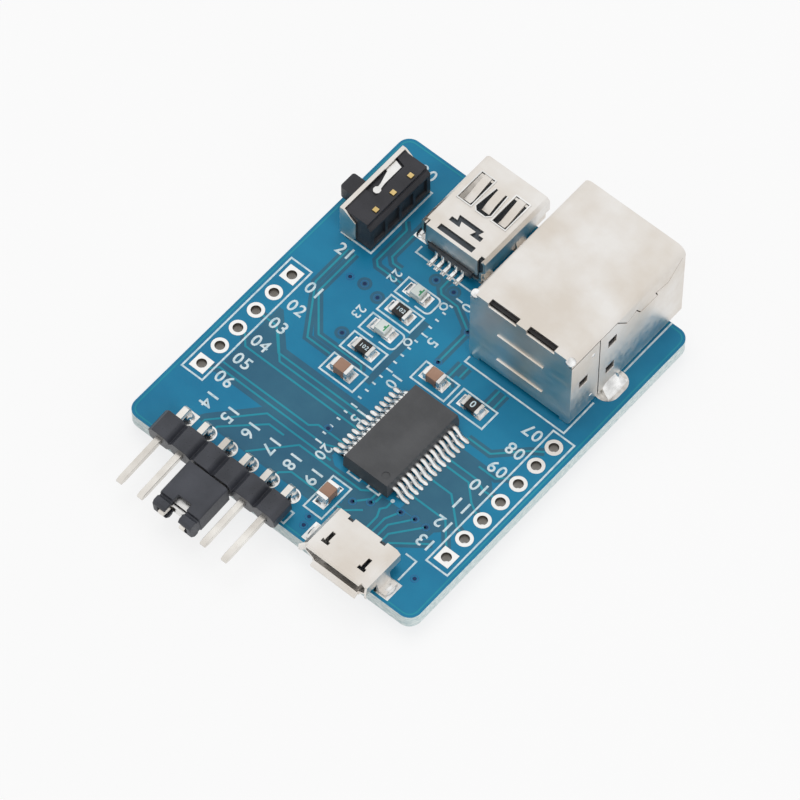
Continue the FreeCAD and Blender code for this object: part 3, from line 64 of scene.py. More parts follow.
# Circuit board
# Glass-fibre laminate with copper on both faces under a glossy blue solder mask. Its milled edge
# shows the pale laminate, and the copper stops just short of it.

MM = 0.001
board_low, board_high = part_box("circuit_board")
board_centre = (board_low + board_high) / 2
board_top = board_high.z
BOARD_HALF_X = (board_high.x - board_low.x) / 2 / MM
BOARD_HALF_Y = (board_high.y - board_low.y) / 2 / MM
BOARD_UNDER = -(board_high.z - board_low.z) / MM
BOARD_CORNER = 1.3
CLOUDS_PER_METRE = 200
WEAVE_PER_METRE = 2600
GLASS_LINES_PER_METRE = 2200
WEAVE_RELIEF = 0.000006
NOISE_LOW = 0.3
NOISE_HIGH = 0.7
FACE_TILT = 0.5


def on_board(x, y, z=0.0):
    """Millimetres on the board as a point in the frame."""
    return Vector((board_centre.x + x * MM, board_centre.y + y * MM, board_top + z * MM))


def linear(red, green, blue):
    """An sRGB colour, 0 to 255, as the linear value that a shader takes."""
    shares = [channel / 255 for channel in (red, green, blue)]
    return tuple(s / 12.92 if s < 0.04045 else ((s + 0.055) / 1.055) ** 2.4 for s in shares) + (1,)


def new_material(name, roughness, metallic=0.0, gloss=0.5):
    """A Principled material with its node tree and its shader, to build on."""
    material = bpy.data.materials.new(name)
    material.use_nodes = True
    shader = material.node_tree.nodes["Principled BSDF"]
    shader.inputs["Roughness"].default_value = roughness
    shader.inputs["Metallic"].default_value = metallic
    shader.inputs["Specular IOR Level"].default_value = gloss
    return material, material.node_tree, shader


def add_node(tree, kind, inputs, **settings):
    """A node with its settings, each input linked to a source or set to a plain value."""
    node = tree.nodes.new(kind)
    for name, value in settings.items():
        setattr(node, name, value)
    for name, source in inputs.items():
        if isinstance(source, bpy.types.NodeSocket):
            tree.links.new(source, node.inputs[name])
        else:
            node.inputs[name].default_value = source
    return node


def maths(tree, operation, *sources):
    """The result of a Math node on sources or plain numbers."""
    inputs = dict(enumerate(sources))
    return add_node(tree, "ShaderNodeMath", inputs, operation=operation).outputs[0]


def object_noise(tree, per_metre, detail, stretch=(1, 1, 1)):
    """Noise on Object coordinates; returns its Fac output."""
    place = tree.nodes.new("ShaderNodeTexCoord").outputs["Object"]
    mapping = add_node(tree, "ShaderNodeMapping", {"Vector": place, "Scale": stretch})
    inputs = {"Vector": mapping.outputs["Vector"], "Scale": per_metre, "Detail": detail}
    return add_node(tree, "ShaderNodeTexNoise", inputs).outputs["Fac"]


def ramp(tree, source, low, high, dark, light):
    """Colour between dark and light as the source goes from low to high."""
    blend = add_node(tree, "ShaderNodeValToRGB", {"Fac": source})
    blend.color_ramp.elements[0].position = low
    blend.color_ramp.elements[1].position = high
    blend.color_ramp.elements[0].color = dark
    blend.color_ramp.elements[1].color = light
    return blend.outputs["Color"]


def mixed(tree, factor, first, second):
    """The first colour where the factor is 0, the second where it is 1."""
    inputs = {"Factor": factor, "A": first, "B": second}
    return add_node(tree, "ShaderNodeMix", inputs, data_type="RGBA").outputs["Result"]


def spread(tree, source, low, high):
    """The source's middle range turned into a value between low and high."""
    limits = {"From Min": NOISE_LOW, "From Max": NOISE_HIGH, "To Min": low, "To Max": high}
    convert = add_node(tree, "ShaderNodeMapRange", {"Value": source, **limits})
    return convert.outputs["Result"]


def add_bump(tree, shader, height, depth, strength):
    """Tilts the surface by a height map, depth in metres."""
    inputs = {"Height": height, "Distance": depth, "Strength": strength}
    bump = add_node(tree, "ShaderNodeBump", inputs)
    tree.links.new(bump.outputs["Normal"], shader.inputs["Normal"])


def mask_finish(name, dark, light):
    """Solder mask over copper or laminate: soft clouds of colour and the weave showing faintly."""
    material, tree, shader = new_material(name, 0.35, gloss=0.28)
    cloud = object_noise(tree, CLOUDS_PER_METRE, 6)
    tree.links.new(ramp(tree, cloud, 0.35, 0.65, dark, light), shader.inputs["Base Color"])
    tree.links.new(spread(tree, cloud, 0.3, 0.42), shader.inputs["Roughness"])
    weave = object_noise(tree, WEAVE_PER_METRE, 2)
    add_bump(tree, shader, weave, WEAVE_RELIEF, 0.4)
    return material


def board_finish():
    """Blue mask on the two faces, pale laminate with fine glass lines on the milled edge."""
    material = mask_finish("board_blue_mask", linear(18, 118, 158), linear(30, 130, 168))
    tree = material.node_tree
    shader = tree.nodes["Principled BSDF"]
    face_colour = shader.inputs["Base Color"].links[0].from_socket
    layers = object_noise(tree, GLASS_LINES_PER_METRE, 5, (1, 1, 2.5))
    pale, paler = linear(178, 203, 206), linear(238, 245, 243)
    edge_colour = ramp(tree, layers, NOISE_LOW, NOISE_HIGH, pale, paler)
    normal = tree.nodes.new("ShaderNodeNewGeometry").outputs["True Normal"]
    parts = add_node(tree, "ShaderNodeSeparateXYZ", {"Vector": normal})
    upright = maths(tree, "ABSOLUTE", parts.outputs["Z"])
    is_face = maths(tree, "GREATER_THAN", upright, FACE_TILT)
    colour = mixed(tree, is_face, edge_colour, face_colour)
    tree.links.new(colour, shader.inputs["Base Color"])
    return material


def refinish(node, material):
    """Gives a CAD node that keeps its shape its detailed material."""
    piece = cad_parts[node]
    piece.data.materials.clear()
    piece.data.materials.append(material)


refinish("circuit_board", board_finish())


# Copper tracks and bare laminate
# Tracks are etched copper that shows lighter through the mask. Where the copper pour is etched
# away beside them, the laminate shows as a duller slate blue.

MASK_SINK = -0.02
BARE_HIGH = 0.006
TRACK_HIGH = 0.012
TRACK_WIDTH = 0.2
GAP_WIDTH = 0.86
ISLAND_RADIUS = 0.72
RIM_WIDTH = 0.14


def finish_piece(piece, body="module", replaces=()):
    """Parents a finished mesh piece to its body's empty and hides the CAD nodes it replaces."""
    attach(piece, body)
    if replaces:
        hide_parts(*replaces)
    return piece


def link_new(name, data):
    """A new object in the scene for a mesh, curve, lamp or camera, standing at the origin."""
    data.name = name
    thing = bpy.data.objects.new(name, data)
    bpy.context.scene.collection.objects.link(thing)
    return thing


def shown_mesh(thing):
    """The plain mesh that an object shows, with its modifiers or its curve worked out."""
    bpy.context.view_layer.update()
    shown = thing.evaluated_get(bpy.context.evaluated_depsgraph_get())
    return bpy.data.meshes.new_from_object(shown)


def mesh_piece(name, maker, material):
    """An object from a bmesh, with its faces turned outwards."""
    bmesh.ops.recalc_face_normals(maker, faces=maker.faces)
    mesh = bpy.data.meshes.new(name)
    maker.to_mesh(mesh)
    maker.free()
    mesh.materials.append(material)
    return link_new(name, mesh)


def slab(target, outline, low, high):
    """A closed flat prism over an outline of (x, y) points, between two heights."""
    bottom = [target.verts.new(on_board(x, y, low)) for x, y in outline]
    top = [target.verts.new(on_board(x, y, high)) for x, y in outline]
    target.faces.new(bottom[::-1])
    target.faces.new(top)
    count = len(outline)
    for i in range(count):
        j = (i + 1) % count
        target.faces.new((bottom[i], bottom[j], top[j], top[i]))


def stroke(target, points, width, low, high, closed=False):
    """A flat mitred line of the given width through the points."""
    count = len(points)
    rings = []
    for i in range(count):
        here = Vector(points[i])
        ways = []
        if i or closed:
            ways.append((here - Vector(points[i - 1])).normalized())
        if i < count - 1 or closed:
            ways.append((Vector(points[(i + 1) % count]) - here).normalized())
        way = sum(ways, Vector((0, 0))).normalized()
        normal = Vector((-way.y, way.x))
        reach = width / 2 / max(0.3, abs(normal.dot(Vector((-ways[0].y, ways[0].x)))))
        left, right = here + normal * reach, here - normal * reach
        corners = ((left, low), (right, low), (right, high), (left, high))
        rings.append([target.verts.new(on_board(side.x, side.y, z)) for side, z in corners])
    pairs = list(zip(rings, rings[1:])) + ([(rings[-1], rings[0])] if closed else [])
    for first, second in pairs:
        for k in range(4):
            m = (k + 1) % 4
            target.faces.new((first[k], first[m], second[m], second[k]))
    if not closed:
        target.faces.new(rings[0])
        target.faces.new(rings[-1][::-1])


def arc(x, y, radius, start, end, steps):
    """Points along an arc, angles in degrees."""
    turn = (end - start) / steps
    angles = [math.radians(start + turn * i) for i in range(steps + 1)]
    return [(x + radius * math.cos(a), y + radius * math.sin(a)) for a in angles]


def disc(x, y, radius, steps=16):
    """Points of a full circle."""
    return arc(x, y, radius, 0, 360, steps)[:-1]


def rounded_box(x_low, x_high, y_low, y_high, bend, steps):
    """Points round a rectangle with rounded corners, from its upper right corner on."""
    points = arc(x_high - bend, y_high - bend, bend, 0, 90, steps)
    points += arc(x_low + bend, y_high - bend, bend, 90, 180, steps)
    points += arc(x_low + bend, y_low + bend, bend, 180, 270, steps)
    return points + arc(x_high - bend, y_low + bend, bend, 270, 360, steps)


def node_tree(name, inputs):
    """A Geometry Nodes tree with named inputs; returns it, its ends and each input's identifier."""
    tree = bpy.data.node_groups.new(name, "GeometryNodeTree")
    tree.interface.new_socket("Source", in_out="INPUT", socket_type="NodeSocketGeometry")
    names = {}
    for label, kind in inputs.items():
        socket = tree.interface.new_socket(label, in_out="INPUT", socket_type=kind)
        names[label] = socket.identifier
    tree.interface.new_socket("Result", in_out="OUTPUT", socket_type="NodeSocketGeometry")
    return tree, tree.nodes.new("NodeGroupInput"), tree.nodes.new("NodeGroupOutput"), names


def close_tree(tree, end, geometry, material):
    """Ends a tree in Realize Instances and Set Material."""
    real = add_node(tree, "GeometryNodeRealizeInstances", {"Geometry": geometry})
    inputs = {"Geometry": real.outputs["Geometry"], "Material": material}
    paint = add_node(tree, "GeometryNodeSetMaterial", inputs)
    tree.links.new(paint.outputs["Geometry"], end.inputs["Result"])


def grow(name, source, tree, settings):
    """Runs a tree on a mesh and keeps the result as a plain mesh piece."""
    holder = link_new(name + "_source", source)
    modifier = holder.modifiers.new("nodes", "NODES")
    modifier.node_group = tree
    for identifier, value in settings.items():
        modifier[identifier] = value
    mesh = shown_mesh(holder)
    bpy.data.objects.remove(holder)
    return link_new(name, mesh)


def melted_together(name, maker, material):
    """Overlapping closed strips joined into one clean skin by a Mesh Boolean on themselves."""
    bmesh.ops.recalc_face_normals(maker, faces=maker.faces)
    strips = bpy.data.meshes.new(name)
    maker.to_mesh(strips)
    maker.free()
    tree, start, end, _ = node_tree(name + "_join", {})
    inputs = {"Mesh": start.outputs["Source"], "Self Intersection": True}
    join = add_node(tree, "GeometryNodeMeshBoolean", inputs, operation="UNION", solver="EXACT")
    close_tree(tree, end, join.outputs["Mesh"], material)
    return grow(name, strips, tree, {})


BARE_AREAS = [
    [(-13.3, -2.4), (-10.3, -5.45), (0.35, -5.45), (0.35, -11.6), (-13.8, -11.6), (-13.8, -2.4)],
    [(-7.73, -11.4), (0.35, -11.4), (2.1, -12.6), (2.1, -16.3), (-11.9, -16.3), (-11.4, -15.5)],
    [(8.75, -3.0), (12.2, -3.0), (13.9, -4.6), (13.9, -10.3), (12.7, -11.5), (8.75, -11.5)],
    [(4.3, -11.7), (12.7, -11.5), (12.6, -12.4), (10.2, -15.2), (4.4, -15.2), (3.9, -12.5)],
    [(-2.65, 5.2), (-1.95, 5.2), (-1.95, -3.4), (-2.65, -3.4)],
]
TRACKS = [
    [(-12.2, 6.6), (-12.2, 1.3), (-9.1, -2.3), (-3.9, -2.3), (-3.5, -2.8)],
    [(-13.1, 6.6), (-13.1, 1.9), (-9.7, -3.2), (-6.9, -3.2)],
    [(-11.0, 12.4), (-10.3, 11.7), (-10.3, 7.4), (-9.8, 6.94), (-7.0, 6.94)],
    [(-9.45, 15.0), (-9.45, 8.6), (-8.9, 8.1), (-7.9, 8.1)],
    [(-3.75, 10.2), (-3.75, 8.9), (-3.3, 8.45), (-1.3, 8.4), (1.25, 6.9)],
    [(-14.4, -4.1), (-12.7, -4.1), (-10.6, -6.23), (0.4, -6.23)],
    [(-12.0, -4.66), (-9.9, -6.87), (0.4, -6.87)],
    [(-14.4, -6.6), (-13.4, -7.68), (0.4, -7.68)],
    [(-13.8, -10.3), (-3.4, -10.3), (-2.7, -9.7), (0.4, -9.7)],
    [(-14.4, -11.7), (-13.7, -10.95), (-1.0, -10.95), (0.4, -10.3)],
    [(-11.0, -16.4), (-11.0, -16.1), (-7.1, -11.84), (0.6, -11.84)],
    [(-9.65, -16.2), (-9.65, -15.9), (-6.2, -12.6), (-4.4, -12.6)],
    [(-5.96, -16.2), (-2.65, -12.48), (4.75, -12.42), (5.6, -11.8)],
    [(-2.19, -16.2), (-2.19, -15.9), (-1.3, -15.1), (2.2, -15.1)],
    [(4.0, -15.1), (4.9, -15.1), (6.27, -13.9)],
    [(4.95, -13.83), (6.1, -12.5), (6.1, -11.7)],
    [(6.27, -12.83), (6.6, -12.4), (6.6, -11.7)],
    [(7.72, -11.6), (7.72, -12.3), (7.35, -12.8), (7.7, -13.6), (7.7, -15.5)],
    [(9.03, -11.83), (8.35, -13.3), (8.35, -15.5)],
    [(10.5, -11.55), (9.0, -13.6), (9.0, -15.5)],
    [(11.8, -11.55), (9.65, -14.3), (9.65, -15.5)],
    [(13.4, -12.5), (10.3, -15.0), (10.3, -15.6)],
    [(8.6, -1.8), (11.25, -1.8), (13.8, 0.8), (14.9, 1.6)],
    [(11.3, -3.5), (13.3, -3.5), (13.9, -2.9), (14.6, -2.6)],
    [(8.6, -4.67), (12.0, -4.67), (13.3, -5.2), (14.5, -5.1)],
    [(8.6, -5.4), (11.7, -5.4), (13.3, -6.9), (14.4, -7.5)],
    [(8.6, -7.37), (11.3, -7.37), (13.9, -9.7), (14.6, -9.9)],
    [(8.7, -9.83), (12.67, -9.83), (14.8, -12.2)],
    [(3.0, 3.9), (3.0, 2.0), (3.9, 1.2)],
    [(3.83, 3.9), (3.83, 2.6)],
    [(7.58, 3.9), (7.58, 1.4)],
    [(8.33, 3.9), (8.33, 1.8)],
    [(1.25, 2.58), (1.25, 6.6)],
]
ISLANDS = [(-9.46, 4.69), (-4.67, 9.32), (-2.57, 9.35), (1.25, 6.9), (-7.57, 4.3), (-7.57, -0.76)]

bare = bmesh.new()
for area in BARE_AREAS:
    slab(bare, area, MASK_SINK, BARE_HIGH)
for track in TRACKS:
    stroke(bare, track, GAP_WIDTH, MASK_SINK, BARE_HIGH)
for x, y in ISLANDS:
    slab(bare, disc(x, y, ISLAND_RADIUS), MASK_SINK, BARE_HIGH)
bare_mask = mask_finish("bare_laminate_mask", linear(40, 94, 122), linear(54, 108, 132))
finish_piece(melted_together("bare_laminate_areas", bare, bare_mask))

copper = bmesh.new()
for track in TRACKS:
    stroke(copper, track, TRACK_WIDTH, MASK_SINK, TRACK_HIGH)
track_mask = mask_finish("track_mask", linear(26, 138, 160), linear(44, 152, 172))
finish_piece(melted_together("copper_tracks", copper, track_mask))

COPPER_INSET = 0.34
edge_x, edge_y = BOARD_HALF_X - COPPER_INSET, BOARD_HALF_Y - COPPER_INSET
pour_edge = rounded_box(-edge_x, edge_x, -edge_y, edge_y, BOARD_CORNER - COPPER_INSET, 5)
rim = bmesh.new()
stroke(rim, pour_edge, RIM_WIDTH, MASK_SINK, BARE_HIGH, closed=True)
finish_piece(mesh_piece("copper_pour_rim", rim, track_mask))


# Vias
# Small drilled and plated holes that carry a track to the other side, covered by the mask. Each
# shows as a low ring with a dark disc in the middle, which is painted shade of the hole under the
# mask.

VIA_PLACES = [
    (6.27, -12.83), (4.95, -13.83), (9.03, -11.83), (10.5, -11.55), (11.8, -11.55),
    (-9.46, 4.69), (-4.67, 9.32), (-2.57, 9.35), (1.25, 2.58), (1.25, 6.9), (-7.57, 4.3),
    (-7.57, -0.76), (3.0, -17.6), (3.2, -18.6), (14.5, -16.3), (-11.0, 4.4), (-1.8, -9.4),
]
VIA_RING_RADIUS = 0.36
VIA_RIM_RADIUS = 0.06
VIA_HOLE_SHADE_RADIUS = 0.2


def circle_curve(tree, resolution, radius=1.0):
    """A circle to sweep or to sweep along."""
    inputs = {"Resolution": resolution, "Radius": radius}
    return add_node(tree, "GeometryNodeCurvePrimitiveCircle", inputs).outputs["Curve"]


def swept(tree, path, section):
    """The sweep of a section along a path, its open ends closed; returns the sweep node."""
    inputs = {"Curve": path, "Profile Curve": section, "Fill Caps": True}
    return add_node(tree, "GeometryNodeCurveToMesh", inputs)


def scattered(tree, start, shape, turn=None, size=None):
    """The shape instanced on every point of the source, turned or sized by a named input."""
    inputs = {"Points": start.outputs["Source"], "Instance": shape}
    if turn:
        inputs["Rotation"] = start.outputs[turn]
    if size:
        inputs["Scale"] = start.outputs[size]
    return add_node(tree, "GeometryNodeInstanceOnPoints", inputs).outputs["Instances"]


def via_tree(material):
    """One swept ring instanced on every place."""
    inputs = {"Ring Radius": "NodeSocketFloat", "Rim Radius": "NodeSocketFloat"}
    tree, start, end, names = node_tree("via_rings", inputs)
    path = circle_curve(tree, 20, start.outputs["Ring Radius"])
    section = circle_curve(tree, 6, start.outputs["Rim Radius"])
    ring = swept(tree, path, section)
    close_tree(tree, end, scattered(tree, start, ring.outputs["Mesh"]), material)
    return tree, names


def places(name, points):
    """A mesh of loose points for a tree to work on."""
    cloud = bpy.data.meshes.new(name)
    cloud.from_pydata(points, [], [])
    return cloud


rings, ring_names = via_tree(mask_finish("via_mask", linear(40, 106, 156), linear(54, 122, 170)))
via_rings = grow(
    "via_rings",
    places("vias", [on_board(x, y, MASK_SINK) for x, y in VIA_PLACES]),
    rings,
    {ring_names["Ring Radius"]: VIA_RING_RADIUS * MM, ring_names["Rim Radius"]: VIA_RIM_RADIUS * MM},
)
finish_piece(via_rings)

# Dark discs at the via centres: painted shade of the holes under the mask.
dimples = bmesh.new()
for x, y in VIA_PLACES:
    slab(dimples, disc(x, y, VIA_HOLE_SHADE_RADIUS, 14), MASK_SINK, TRACK_HIGH)
via_hole_shade_mask = mask_finish("via_painted_hole_shade", linear(10, 36, 78), linear(16, 50, 96))
finish_piece(mesh_piece("via_dimples", dimples, via_hole_shade_mask))


# Silk print
# White epoxy ink: frames round the parts and the hole rows, plain place numbers, and a millimetre
# scale along the middle of the board.

SILK_LOW = -0.01
SILK_HIGH = 0.028
SILK_LINE = 0.18
HOLE_PITCH = 2.54


def hole_row(centre, count):
    """Places of a row of holes at the standard pitch, from the lowest up."""
    return [centre + HOLE_PITCH * (i - (count - 1) / 2) for i in range(count)]


LEFT_HOLES = hole_row(-5.35, 6)
RIGHT_HOLES = hole_row(-5.1, 7)
HEADER_HOLES = hole_row(-6.0, 6)


def silk_finish():
    """Matt white ink, a little thin in places."""
    material, tree, shader = new_material("silk_ink", 0.6, gloss=0.3)
    patches = object_noise(tree, 1800, 5)
    ink = ramp(tree, patches, 0.3, 0.6, linear(176, 208, 220), linear(226, 238, 242))
    tree.links.new(ink, shader.inputs["Base Color"])
    add_bump(tree, shader, patches, 0.00001, 0.6)
    return material


def frame_line(x_low, x_high, y_low, y_high):
    """The closed rectangle between the given limits."""
    return [(x_low, y_low), (x_high, y_low), (x_high, y_high), (x_low, y_high)]


CLOSED_LINES = [
    frame_line(-16.5, -14.0, -13.05, 2.4),
    frame_line(14.05, 16.55, -14.15, 3.88),
    frame_line(-6.8, -2.8, 3.32, 5.37),
    frame_line(-6.8, -2.8, -1.97, 0.16),
    frame_line(-6.69, -2.65, -5.02, -2.84),
    frame_line(0.37, 4.37, -0.3, 1.97),
    frame_line(4.92, 8.95, -0.3, 1.97),
    frame_line(1.87, 4.03, -17.08, -12.92),
]
OPEN_LINES = [
    [(-14.9, 7.6), (-11.2, 7.6), (-11.2, 16.4), (-11.9, 16.4)],
    [(-8.09, 11.3), (-8.09, 10.44), (-1.36, 10.44)],
    [(3.08, 5.0), (3.08, 4.28), (14.95, 4.28), (14.95, 8.6)],
    [(14.95, 13.0), (14.95, 20.0)],
    [(2.63, -11.3), (2.63, -11.8), (4.0, -11.8), (4.0, -11.3)],
    [(5.0, -11.3), (5.0, -11.8), (6.33, -11.8), (6.33, -11.3)],
    [(12.2, -14.85), (13.47, -14.85), (13.47, -17.4)],
    [(1.25, -18.25), (1.7, -18.25), (1.7, -19.67), (1.25, -19.67)],
]
LAMP_FRAMES = [6.87, 1.75]
LAMP_FRAME_RIGHT = -2.73
LAMP_FRAME_HALF = 1.03
LAMP_FRAME_BEND = 0.5
LAMP_LOOP_RADIUS = 0.35
CHIP_DOT = (7.72, -11.42)
CHIP_DOT_RADIUS = 0.2
SCALE_LOW = -11.0
SCALE_STEPS = 20
SCALE_LEFT = -1.95
LONG_TICK = 0.75
SHORT_TICK = 0.4

silk = bmesh.new()
for line in CLOSED_LINES:
    stroke(silk, line, SILK_LINE, SILK_LOW, SILK_HIGH, closed=True)
for line in OPEN_LINES:
    stroke(silk, line, SILK_LINE, SILK_LOW, SILK_HIGH)
for y in LAMP_FRAMES:
    low, high = y - LAMP_FRAME_HALF, y + LAMP_FRAME_HALF
    bend_x = LAMP_FRAME_RIGHT - LAMP_FRAME_BEND
    outline = [(-4.35, low)]
    outline += arc(bend_x, low + LAMP_FRAME_BEND, LAMP_FRAME_BEND, -90, 0, 4)
    outline += arc(bend_x, high - LAMP_FRAME_BEND, LAMP_FRAME_BEND, 0, 90, 4)
    outline += [(-6.8, high), (-6.8, low), (-5.07, low)]
    stroke(silk, outline, SILK_LINE, SILK_LOW, SILK_HIGH)
    loop = disc(LAMP_FRAME_RIGHT + 0.45, high - LAMP_LOOP_RADIUS, LAMP_LOOP_RADIUS)
    stroke(silk, loop, SILK_LINE, SILK_LOW, SILK_HIGH, closed=True)
slab(silk, disc(*CHIP_DOT, CHIP_DOT_RADIUS, 12), SILK_LOW, SILK_HIGH)
for step in range(SCALE_STEPS + 1):
    y = SCALE_LOW + step
    reach = LONG_TICK if step % 5 == 0 else SHORT_TICK
    stroke(silk, [(SCALE_LEFT, y), (SCALE_LEFT + reach, y)], SILK_LINE, SILK_LOW, SILK_HIGH)
silk_material = silk_finish()
finish_piece(mesh_piece("silk_frames_and_scale", silk, silk_material))


DIGIT_SHARE = 0.7
DIGIT_SPACE = 1.12
STROKE_GAIN = 0.02


def print_number(text, x, y, height, turn, low=SILK_LOW, high=SILK_HIGH):
    """A number in raised ink between two levels, its baseline turned by the given degrees."""
    curve = bpy.data.curves.new("number", "FONT")
    curve.body = text
    curve.size = height * MM / DIGIT_SHARE
    curve.align_x = "LEFT"
    curve.align_y = "CENTER"
    curve.offset = STROKE_GAIN * height * MM
    curve.extrude = (high - low) / 2 * MM
    curve.resolution_u = 3
    curve.space_character = DIGIT_SPACE
    word = link_new("number", curve)
    mesh = shown_mesh(word)
    bpy.data.objects.remove(word)
    place = Matrix.Translation(on_board(x, y, (low + high) / 2))
    mesh.transform(place @ Matrix.Rotation(math.radians(turn), 4, "Z"))
    return mesh


def number_piece(name, entries, material):
    """Several printed numbers as one closed mesh piece."""
    numbers = bmesh.new()
    for entry in entries:
        numbers.from_mesh(print_number(*entry))
    bmesh.ops.remove_doubles(numbers, verts=numbers.verts, dist=0.000001)
    return mesh_piece(name, numbers, material)


BIG_DIGIT = 1.26
SCALE_DIGIT = 1.1
SMALL_DIGIT = 0.95
LEFT_NUMBER_X = -13.46
RIGHT_NUMBER_X = 13.75
HEADER_NUMBER_Y = -13.2
SCALE_NUMBER_X = SCALE_LEFT + 1.4

printed = []
for number, y in enumerate(reversed(LEFT_HOLES), start=1):
    printed.append((f"{number:02d}", LEFT_NUMBER_X, y, BIG_DIGIT, 0))
for number, y in enumerate(reversed(RIGHT_HOLES), start=7):
    printed.append((f"{number:02d}", RIGHT_NUMBER_X, y, BIG_DIGIT, 180))
for number, x in enumerate(HEADER_HOLES, start=14):
    printed.append((f"{number:02d}", x + 0.15, HEADER_NUMBER_Y, BIG_DIGIT, -90))
for number in range(0, SCALE_STEPS + 1, 5):
    y = SCALE_LOW + SCALE_STEPS - number
    printed.append((str(number), SCALE_NUMBER_X, y + 0.25, SCALE_DIGIT, -90))
printed += [("20", -13.9, 17.75, BIG_DIGIT, 0), ("21", -14.1, 6.15, BIG_DIGIT, 0)]
printed += [("22", -7.95, 7.85, SMALL_DIGIT, -90), ("23", -7.95, 2.7, SMALL_DIGIT, -90)]
finish_piece(number_piece("silk_numbers", printed, silk_material))


# Plated metals and solder
# Socket shells are folded from nickel-plated steel sheet. Pins, pads and leads are tinned or
# gold-flashed copper alloy, and the joints are shiny solder.

GRAIN_PER_METRE = 1500


def metal_finish(name, dark, light, rough_low, rough_high, grain=(1, 1, 1), dent=0.000006, patch=220):
    """Plated metal: two close tones in soft patches, uneven roughness and a rolled grain."""
    material, tree, shader = new_material(name, rough_low, 1.0)
    patches = object_noise(tree, patch, 7)
    tree.links.new(ramp(tree, patches, 0.36, 0.62, dark, light), shader.inputs["Base Color"])
    lines = object_noise(tree, GRAIN_PER_METRE, 6, grain)
    tree.links.new(spread(tree, lines, rough_low, rough_high), shader.inputs["Roughness"])
    add_bump(tree, shader, lines, dent, 0.6)
    return material


shell_steel = metal_finish(
    "nickel_plated_sheet",
    linear(219, 211, 201),
    linear(233, 230, 226),
    0.3,
    0.44,
    grain=(0.3, 1.6, 1),
    dent=0.000002,
    patch=160,
)
bright_tin = metal_finish("bright_tin", linear(216, 215, 212), linear(246, 245, 243), 0.2, 0.36)
solder_metal = metal_finish(
    "solder", linear(206, 206, 205), linear(248, 248, 247), 0.12, 0.28, dent=0.00003, patch=900
)
gold_flash = metal_finish("gold_flash", linear(190, 160, 96), linear(232, 206, 146), 0.22, 0.36)
pin_metal = metal_finish("tinned_pin", linear(204, 198, 190), linear(240, 237, 231), 0.2, 0.34)


# Hole linings and pads
# Tinned copper linings of the two rows of holes and the tinned pads under every soldered lead.

LINING_EDGE = 0.02
MERGE_DISTANCE = 0.000002
FLAT_ANGLE = math.radians(1)
SHARP_ANGLE = math.radians(28)


def soften(name, node, material, radius, body="module", segments=2):
    """A copy of a CAD node with its sharp edges eased, which replaces the node."""
    copy = bmesh.new()
    copy.from_mesh(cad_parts[node].data)
    bmesh.ops.remove_doubles(copy, verts=copy.verts, dist=MERGE_DISTANCE)
    bmesh.ops.dissolve_limit(copy, angle_limit=FLAT_ANGLE, verts=copy.verts, edges=copy.edges)
    mesh = bpy.data.meshes.new(name)
    copy.to_mesh(mesh)
    copy.free()
    mesh.materials.append(material)
    for face in mesh.polygons:
        face.use_smooth = True
    piece = link_new(name, mesh)
    bevel = piece.modifiers.new("edge_ease", "BEVEL")
    bevel.width = radius * MM
    bevel.segments = segments
    bevel.limit_method = "ANGLE"
    bevel.angle_limit = SHARP_ANGLE
    bevel.use_clamp_overlap = True
    flatten = piece.modifiers.new("flat_faces", "WEIGHTED_NORMAL")
    flatten.weight = 100
    finished = shown_mesh(piece)
    piece.modifiers.clear()
    piece.data = finished
    return finish_piece(piece, body, (node,))


def lining_finish():
    """Bright tin on the pad faces, with painted shade down the wall of the hole."""
    material, tree, shader = new_material("hole_lining", 0.32, 1.0)
    place = tree.nodes.new("ShaderNodeTexCoord").outputs["Object"]
    split = add_node(tree, "ShaderNodeSeparateXYZ", {"Vector": place})
    level = maths(tree, "SUBTRACT", split.outputs["Z"], board_centre.z)
    reach = board_top - board_centre.z - LINING_EDGE * MM
    face = maths(tree, "GREATER_THAN", maths(tree, "ABSOLUTE", level), reach)
    # The wall's dark grey is painted shade inside the hole; the plating there is the same bright tin.
    tin_with_painted_hole_shade = mixed(tree, face, linear(120, 115, 108), linear(246, 245, 243))
    tree.links.new(tin_with_painted_hole_shade, shader.inputs["Base Color"])
    return material


hole_lining = lining_finish()
for row in ("left_row_plated_holes", "right_row_plated_holes"):
    soften(row.replace("plated_holes", "tinned_holes"), row, hole_lining, 0.03)
refinish("surface_pads", solder_metal)


# Solder beads and fillets
# Molten solder wicks up a lead and freezes in a hollow slope, or sits as a bead at a lead's foot.

FILLET_STEPS = 9
FILLET_HOLLOW = 2.2
SOLDER_SINK = 0.01


def smoothed(tree, shape):
    """The mesh of a node, shaded smooth."""
    inputs = {"Geometry": shape.outputs["Mesh"]}
    return add_node(tree, "GeometryNodeSetShadeSmooth", inputs).outputs["Geometry"]


